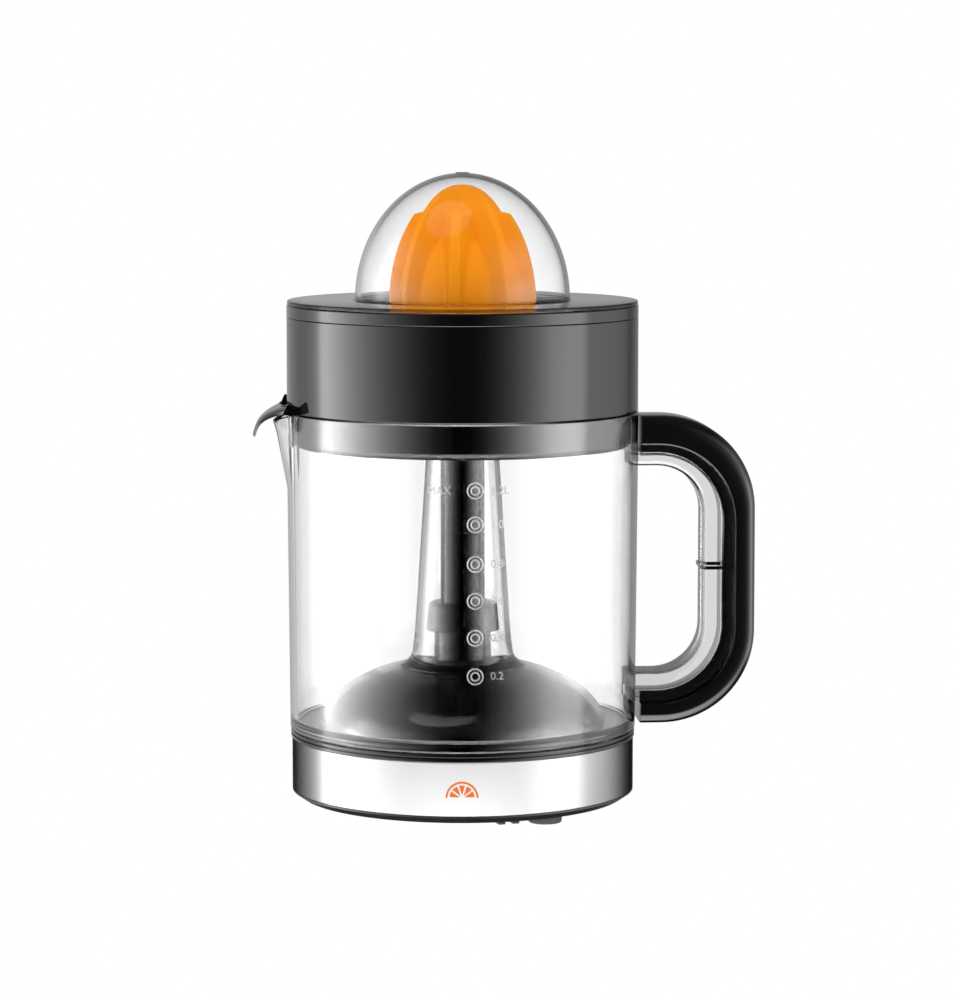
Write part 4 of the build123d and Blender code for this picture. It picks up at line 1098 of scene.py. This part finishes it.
@dataclass
class Strainer:
    """Rim, wall and slotted sieve."""

    outer: float = 70.4
    wall: float = 66.2
    rim_z: Pair = (196.65, 201.5)
    sieve_z: Pair = (183.0, 184.6)
    sieve_r: float = 67.2
    thick: float = 1.6
    rows: tuple[tuple[int, float, float, float], ...] = ((36, 20.0, 34.0, 1.5), (60, 38.0, 60.0, 1.7))

    def _z(self, radius: float) -> float:
        """Underside of the sieve at a radius."""
        return self.sieve_z[0] + (self.sieve_z[1] - self.sieve_z[0]) * radius / self.sieve_r

    def _ring(self, shape: Shape, low: float, high: float) -> None:
        """Adds a plain ring of sieve floor between two radii."""
        shape.turned([(low, self._z(low), 0), (high, self._z(high), 0), (high, self._z(high) + self.thick, 0.2),
                      (low, self._z(low) + self.thick, 0.2)], count=192)

    def rim(self) -> Piece:
        """Rim, wall and the solid rings of the floor."""
        edge = self.rows[1][2]
        top = self._z(self.wall) + self.thick
        corners = [(self.outer, self.rim_z[0], 0.35), (self.outer, self.rim_z[1], 0.6),
                   (self.wall, self.rim_z[1], 0.5), (self.wall, top, 1.2),
                   (edge, self._z(edge) + self.thick, 0), (edge, self._z(edge), 0),
                   (67.8, self._z(67.8), 1.0), (67.8, self.rim_z[0], 0)]
        shape = Shape("strainer_rim").turned(corners, count=256)
        self._ring(shape, self.rows[0][2], self.rows[1][1])
        shape.turned([(12.0, 177.0, 0.3), (14.0, 177.0, 0.3), (14.0, self._z(14), 0), (20.0, self._z(20), 0),
                      (20.0, self._z(20) + self.thick, 0), (14.0, 185.1, 0), (9.5, 185.1, 0.2), (9.5, 183.0, 0),
                      (12.0, 183.0, 0)], count=128)
        return shape.make(35)

    def bar(self, low: float, high: float, count: int, gap: float) -> Piece:
        """One tapered bar between two slots, between two radii."""
        rows = []
        for radius in (low - 0.15, high + 0.15):
            half = pi * radius / count - gap / 2
            z = self._z(radius)
            rows.append([(radius, -half, z), (radius, half, z), (radius, half, z + self.thick),
                         (radius, -half, z + self.thick)])
        return Shape("sieve_bar").loft(rows).make(20)

    def build(self, shop: Workshop) -> None:
        """Builds and dresses the strainer."""
        shop.fit(self.rim(), "black_gloss", Body.STRAINER, "strainer")
        for i, (count, low, high, gap) in enumerate(self.rows):
            bars = shop.array.repeat(self.bar(low, high, count, gap), f"sieve_bars_{i + 1}", count,
                                     shop.finishes["black_gloss"], turn=180 / count)
            shop.fit(bars, "black_gloss", Body.STRAINER)


@dataclass
class ReamerCone:
    """Orange cone whose ridges and flutes follow a rule."""

    apex: float = 249.1
    shoulder: float = 200.0
    bottom: float = 188.6
    radius: float = 29.7
    core_radius: float = 25.3
    core_rise: float = 37.0
    crest_half: float = 1.7
    draft: float = 0.55
    short_top: float = 238.5
    turn: float = -10.7
    blend: float = 0.45
    socket_r: Pair = (9.0, 7.6)
    socket_z: Pair = (190.1, 222.0)

    def _ridge(self, peak: float, off: float) -> float:
        """Radius of a ridge's flank at an angle off its crest."""
        return min(peak, (self.crest_half + peak * self.draft) / (sin(min(abs(off), pi / 2)) + self.draft))

    def _soft_max(self, a: float, b: float) -> float:
        """The larger of two lengths, with a small fillet where they meet."""
        gap = max(self.blend - abs(a - b), 0.0) / self.blend
        return max(a, b) + gap * gap * self.blend / 4

    def _peak(self, z: float) -> float:
        """Radius of the long ridges at a height."""
        share = max(0.0, z - self.shoulder) / (self.apex - self.shoulder)
        return self.radius * sqrt(max(0.0, 1 - share * share))

    def radius_at(self, angle: float, z: float) -> float:
        """Radius of the cone's surface at an angle and a height."""
        peak = self._peak(z)
        rise = max(0.0, z - self.shoulder) / self.core_rise
        core = self.core_radius * sqrt(max(0.0, 1 - rise * rise))
        local = angle - radians(self.turn)
        off_long = abs(local % (pi / 2) - pi / 4)
        off_short = abs((local + pi / 4) % (pi / 2) - pi / 4)
        fade = min(1.0, max(0.0, (self.short_top + 1.2 - z) / 2.4))
        short_peak = peak * (0.55 + 0.45 * fade * fade * (3 - 2 * fade))
        long_r = self._ridge(peak, off_long)
        short_r = self._ridge(short_peak, off_short) if fade > 0 else 0.0
        return min(peak, self._soft_max(self._soft_max(long_r, short_r), core))

    def shell(self) -> Piece:
        """The whole cone with its hollow underside."""
        steps, angles = 110, even_angles(360)
        heights = [self.bottom + 0.4, self.bottom + 2, self.bottom + 6]
        heights += [self.shoulder + (self.apex - self.shoulder) * sin(pi / 2 * i / steps) for i in range(steps)]
        rows: list[list[Point]] = [[(self._at(a, self.bottom + 0.4, -0.4)) + (self.bottom,) for a in angles]]
        rows += [[(self._at(a, z, 0.0)) + (z,) for a in angles] for z in heights]
        rows.append([(0.0, 0.0, self.apex) for _ in angles])
        hollow_r = self.core_radius - 2.6
        hollow = ellipse(hollow_r, 33.0, self.shoulder, self.shoulder, self.shoulder + 32.0, 16)
        wide, narrow = self.socket_r
        foot, roof = self.socket_z
        inner = [(wide, self.shoulder + 30.0, 0), (wide, foot, 0.3), (narrow, foot, 0), (narrow, roof, 0),
                 (0, roof, 0)]
        outline = rounded([(hollow_r, self.bottom, 0.3), *hollow, *inner], False, 4)
        inside = [[(r * cos(a), r * sin(a), z) for a in angles] for r, z in outline]
        return Shape("ribbed_cone").grid(inside[::-1] + rows, False, True).make(60)

    def _at(self, angle: float, z: float, grow: float) -> Pair:
        """A point of the surface in plan."""
        radius = self.radius_at(angle, z) + grow
        return radius * cos(angle), radius * sin(angle)

    def build(self, shop: Workshop) -> None:
        """Builds and dresses the cone."""
        shop.fit(self.shell(), "orange_gloss", Body.CONE, "reamer_cone")


@dataclass
class DustCover:
    """Clear cover with its flange, lip and dome."""

    flange: tuple[float, float, float] = (70.2, 201.55, 203.2)
    dome: Pair = (43.0, 50.6)
    wall: float = 1.8
    lip: tuple[float, float, float] = (64.5, 65.8, 198.0)
    nub_r: float = 2.75

    def shell(self) -> Piece:
        """Flange, lip and dome as one turned surface."""
        outer_r, low, high = self.flange
        dome_r, dome_h = self.dome
        outside = ellipse(dome_r, dome_h, high, high + 2.2, high + dome_h * 0.9982, 60)
        in_r, in_h = dome_r - self.wall, dome_h - self.wall
        inside = ellipse(in_r, in_h, high, high, high + in_h * 0.9999, 60)
        corners = [(0.0, high + in_h, 0), *inside[::-1], (in_r, low, 0.4),
                   (self.lip[0], low, 0.3), (self.lip[0], self.lip[2], 0.3), (self.lip[1], self.lip[2], 0.3),
                   (self.lip[1], low, 0.2), (outer_r, low, 0.4), (outer_r, high, 0.7),
                   (dome_r + 0.1, high, 1.6), *outside,
                   (self.nub_r, high + dome_h - 0.1, 0), (self.nub_r - 0.1, high + dome_h + 0.2, 0.1),
                   (0.0, high + dome_h + 0.15, 0)]
        return Shape("cover_shell").turned(corners, closed=False, count=224).make(40)

    def build(self, shop: Workshop) -> None:
        """Builds and dresses the cover."""
        shop.fit(self.shell(), "clear_cover", Body.COVER, "dust_cover")


@dataclass
class Works:
    """The hidden machinery, which keeps its CAD shapes and gets its finishes, and the press spring."""

    spring_z: Pair = (46.9, 59.9)
    spring_r: float = 5.6
    spring_pitch: float = 2.9
    wire: float = 0.5
    press: float = 2.5
    finishes: dict[str, tuple[str, ...]] = field(default_factory=lambda: {
        "zinc_steel": ("lower_plate", "upper_plate", "plate_pillars", "gearbox_screws", "base_screws",
                       "gear_pin_1", "gear_pin_2", "motor_screws", "output_shaft", "spring_collar",
                       "retaining_clip", "motor_bracket"),
        "brass": ("shaft_bushes", "rotor_bushes", "motor_pinion"),
        "copper": ("coil_winding",),
        "lamination_steel": ("motor_core", "motor_rotor"),
        "gear_plastic": ("drive_gear", "idler_gear_1", "idler_gear_2", "coil_bobbin", "push_switch",
                         "switch_plunger", "terminal_block"),
        "lead_insulation": ("inner_leads",),
        "rubber": ("cord_gland", "shaft_seal"),
        "black_satin": ("slinger_ring",),
    })

    def spring(self) -> Piece:
        """The press spring, a coil of round wire."""
        low, high = self.spring_z
        climb = high - low - 2 * self.wire
        turns = climb / self.spring_pitch
        steps = round(32 * turns)
        rows = []
        for i in range(steps + 1):
            around, middle = tau * turns * i / steps, low + self.wire + climb * i / steps
            rows.append([((self.spring_r + self.wire * cos(a)) * cos(around),
                          (self.spring_r + self.wire * cos(a)) * sin(around),
                          middle + self.wire * sin(a)) for a in even_angles(10)])
        return Shape("press_coil").loft(rows).make(40)

    def build(self, shop: Workshop) -> None:
        """Dresses the CAD nodes and fits the spring."""
        coil = shop.fit(self.spring(), "zinc_steel", Body.DRIVE, "press_spring")
        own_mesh(coil)
        for finish, nodes in self.finishes.items():
            for node in nodes:
                shop.repaint(node, finish)
            LOG.info("%s: %s", finish, ", ".join(nodes))


# ---------------------------------------------------------------- studio

@dataclass
class Studio:
    """Camera, surroundings, floor and one soft light."""

    azimuth: float = -4.2
    distance: float = 1500.0
    height: float = 286.6
    pitch: float = 6.24
    sideways: float = 6.0
    lens: float = 135.0
    peak: float = 7.2
    quiet: float = 5.0
    reach: float = 93.0
    fade: float = 2.3
    left_box: Point = (8.0, 7.1, 98.0)
    right_box: Point = (14.0, 4.7, 77.0)
    left_rim: Stops = ((-180, 0.45), (-134, 0.7), (-123, 1.0), (-115, 1.6), (-109, 2.8), (-104, 6.2))
    right_rim: Stops = ((84, 4.4), (91, 2.2), (127, 0.8), (141, 0.25), (180, 0.4))
    table: Stops = ((-180, 0.02), (-122, 0.03), (-108, 0.6), (-95, 2.4), (-25, 6.6), (25, 6.6), (55, 3.5),
                    (75, 1.0), (90, 0.1), (110, 0.03), (180, 0.02))
    lamp: Point = (-0.25, -0.25, 1.05)
    lamp_aim: float = 0.15
    lamp_size: float = 0.8
    lamp_power: float = 1.5
    behind: float = 1.10
    fill: float = 1.62

    def camera(self) -> None:
        """Places the camera in front of the scale, a little to the spout's side."""
        turn = radians(self.azimuth)
        data = bpy.data.cameras.new("studio_camera")
        data.lens, data.sensor_width, data.clip_end = self.lens, 36.0, 20.0
        camera = bpy.data.objects.new("studio_camera", data)
        x = self.distance * sin(turn) + self.sideways * cos(turn) + AXIS_X
        y = -self.distance * cos(turn) + self.sideways * sin(turn)
        camera.location = Vector((x, y, self.height)) * MM
        camera.rotation_euler = (radians(90.0 - self.pitch), 0.0, turn)
        bpy.context.collection.objects.link(camera)
        bpy.context.scene.camera = camera
        bpy.context.scene.view_settings.view_transform = "Standard"

    def floor(self) -> None:
        """A round white table that glows evenly, seen only directly and only from above."""
        bpy.ops.mesh.primitive_circle_add(vertices=96, radius=0.3, fill_type="NGON", location=(0, 0, 0))
        plane = bpy.context.object
        plane.name = "studio_floor"
        material = bpy.data.materials.new("studio_floor")
        material.use_nodes = True
        tree = material.node_tree
        tree.nodes.clear()
        new, link = tree.nodes.new, tree.links.new
        glow, unseen, mix, result = (new("ShaderNodeEmission"), new("ShaderNodeBsdfTransparent"),
                                     new("ShaderNodeMixShader"), new("ShaderNodeOutputMaterial"))
        path, side = new("ShaderNodeLightPath"), new("ShaderNodeNewGeometry")
        bounces = calculate(tree, "ADD", path.outputs["Glossy Depth"], path.outputs["Diffuse Depth"])
        hidden = calculate(tree, "ADD", bounces, side.outputs["Backfacing"])
        link(calculate(tree, "MINIMUM", hidden, 1.0), mix.inputs["Fac"])
        glow.inputs["Color"].default_value = (1.0, 1.0, 1.0, 1.0)
        link(glow.outputs[0], mix.inputs[1])
        link(unseen.outputs[0], mix.inputs[2])
        link(mix.outputs[0], result.inputs["Surface"])
        plane.data.materials.append(material)
        plane.visible_glossy = plane.visible_diffuse = plane.visible_shadow = False

    def _walls(self) -> Stops:
        """Brightness round the hall: a big soft box on each side that fades towards the camera's side.

        Returns:
            The stops from the far side, round by the left and the right, back to the far side.
        """
        stops = list(self.left_rim)
        for side, (strength, most, edge) in ((-1, self.left_box), (1, self.right_box)):
            turns = [self.quiet + (edge - self.quiet) * i / 8 for i in range(9)]
            box = [(side * turn, min(most, strength * ((turn - self.quiet) / self.reach) ** self.fade))
                   for turn in turns]
            stops += box[::side]
        return (*stops, *self.right_rim)

    def _ramp(self, tree: Tree, turn: Socket, stops: Stops) -> Socket:
        """Brightness by turn from the camera's side.

        Args:
            tree: the world's tree.
            turn: the turn as a share of a full circle, 0.5 at the camera's side.
            stops: turns and their brightness.

        Returns:
            The brightness as a share of the peak.
        """
        node = tree.nodes.new("ShaderNodeValToRGB")
        points = node.color_ramp.elements
        while len(points) > 1:
            points.remove(points[-1])
        for i, (degree, value) in enumerate(stops):
            point = points[0] if i == 0 else points.new(degree / 360 + 0.5)
            point.position = degree / 360 + 0.5
            share = value / self.peak
            point.color = (share, share, share, 1.0)
        tree.links.new(turn, node.inputs[0])
        return node.outputs[0]

    def _step(self, tree: Tree, value: Socket, low: float, high: float) -> Socket:
        """A smooth rise from 0 to 1 between two values; it falls if low is above high."""
        node = tree.nodes.new("ShaderNodeMapRange")
        node.interpolation_type = "SMOOTHSTEP"
        start, end = (0.0, 1.0) if low < high else (1.0, 0.0)
        for label, number in (("Value", value), ("From Min", min(low, high)), ("From Max", max(low, high)),
                              ("To Min", start), ("To Max", end)):
            feed(tree, node.inputs[label], number)
        return node.outputs["Result"]

    def _blend(self, tree: Tree, share: Socket, first: Socket | float, second: Socket | float) -> Socket:
        """A mix of two numbers."""
        node = tree.nodes.new("ShaderNodeMix")
        for label, value in (("Factor", share), ("A", first), ("B", second)):
            feed(tree, node.inputs[label], value)
        return node.outputs["Result"]

    def world(self) -> None:
        """Soft boxes on both sides, a dark hall behind the camera and a white wall behind the juicer."""
        world = bpy.data.worlds.new("studio_world")
        world.use_nodes = True
        world.cycles.sampling_method = "NONE"
        tree = world.node_tree
        new, link = tree.nodes.new, tree.links.new
        where, turned, split = (new("ShaderNodeTexCoord"), new("ShaderNodeVectorRotate"),
                                new("ShaderNodeSeparateXYZ"))
        turned.rotation_type = "Z_AXIS"
        turned.inputs["Angle"].default_value = -radians(self.azimuth)
        link(where.outputs["Generated"], turned.inputs["Vector"])
        link(turned.outputs["Vector"], split.inputs[0])
        front = calculate(tree, "MULTIPLY", split.outputs["Y"], -1.0)
        angle = calculate(tree, "ARCTAN2", split.outputs["X"], front)
        share = calculate(tree, "MULTIPLY_ADD", angle, 1 / tau, 0.5)
        walls, table = (self._ramp(tree, share, stops) for stops in (self._walls(), self.table))
        height = split.outputs["Z"]
        half = calculate(tree, "MULTIPLY", walls, 0.5)
        upper = self._blend(tree, self._step(tree, height, 0.08, 0.3), walls, half)
        above = self._blend(tree, self._step(tree, height, 0.35, 0.75), upper, 0.012)
        hall = self._blend(tree, self._step(tree, height, -0.3, -0.5), above, table)
        path = new("ShaderNodeLightPath")
        seen = self._blend(tree, path.outputs["Glossy Depth"], self.behind / self.peak, hall)
        even = calculate(tree, "MULTIPLY_ADD", hall, 0.1, self.fill / self.peak)
        soft = self._blend(tree, path.outputs["Diffuse Depth"], seen, even)
        final = self._blend(tree, path.outputs["Is Camera Ray"], soft, 1.0 / self.peak)
        link(final, tree.nodes["Background"].inputs["Color"])
        tree.nodes["Background"].inputs["Strength"].default_value = self.peak
        bpy.context.scene.world = world

    def softbox(self) -> None:
        """A weak area light above the juicer."""
        data = bpy.data.lights.new("top_softbox", "AREA")
        data.shape, data.size, data.energy = "DISK", self.lamp_size, self.lamp_power
        light = bpy.data.objects.new("top_softbox", data)
        light.location = Vector(self.lamp) + Vector((AXIS_X * MM, 0.0, self.lamp_aim))
        light.rotation_euler = Vector(self.lamp).to_track_quat("Z", "Y").to_euler()
        bpy.context.collection.objects.link(light)

    def build(self) -> None:
        """Sets up the whole studio."""
        self.camera()
        self.world()
        self.floor()
        self.softbox()


def main() -> None:
    """Builds the sub-assemblies in order."""
    logging.basicConfig(level=logging.INFO, format="%(name)s %(message)s")
    shop = Workshop()
    for part in (Base(), Spindle(), Jug(), Collector(), SpoutFlap(), Strainer(), ReamerCone(), DustCover(),
                 Works()):
        LOG.info("building %s", type(part).__name__)
        part.build(shop)
    Studio().build()


if __name__ == "__main__":
    main()
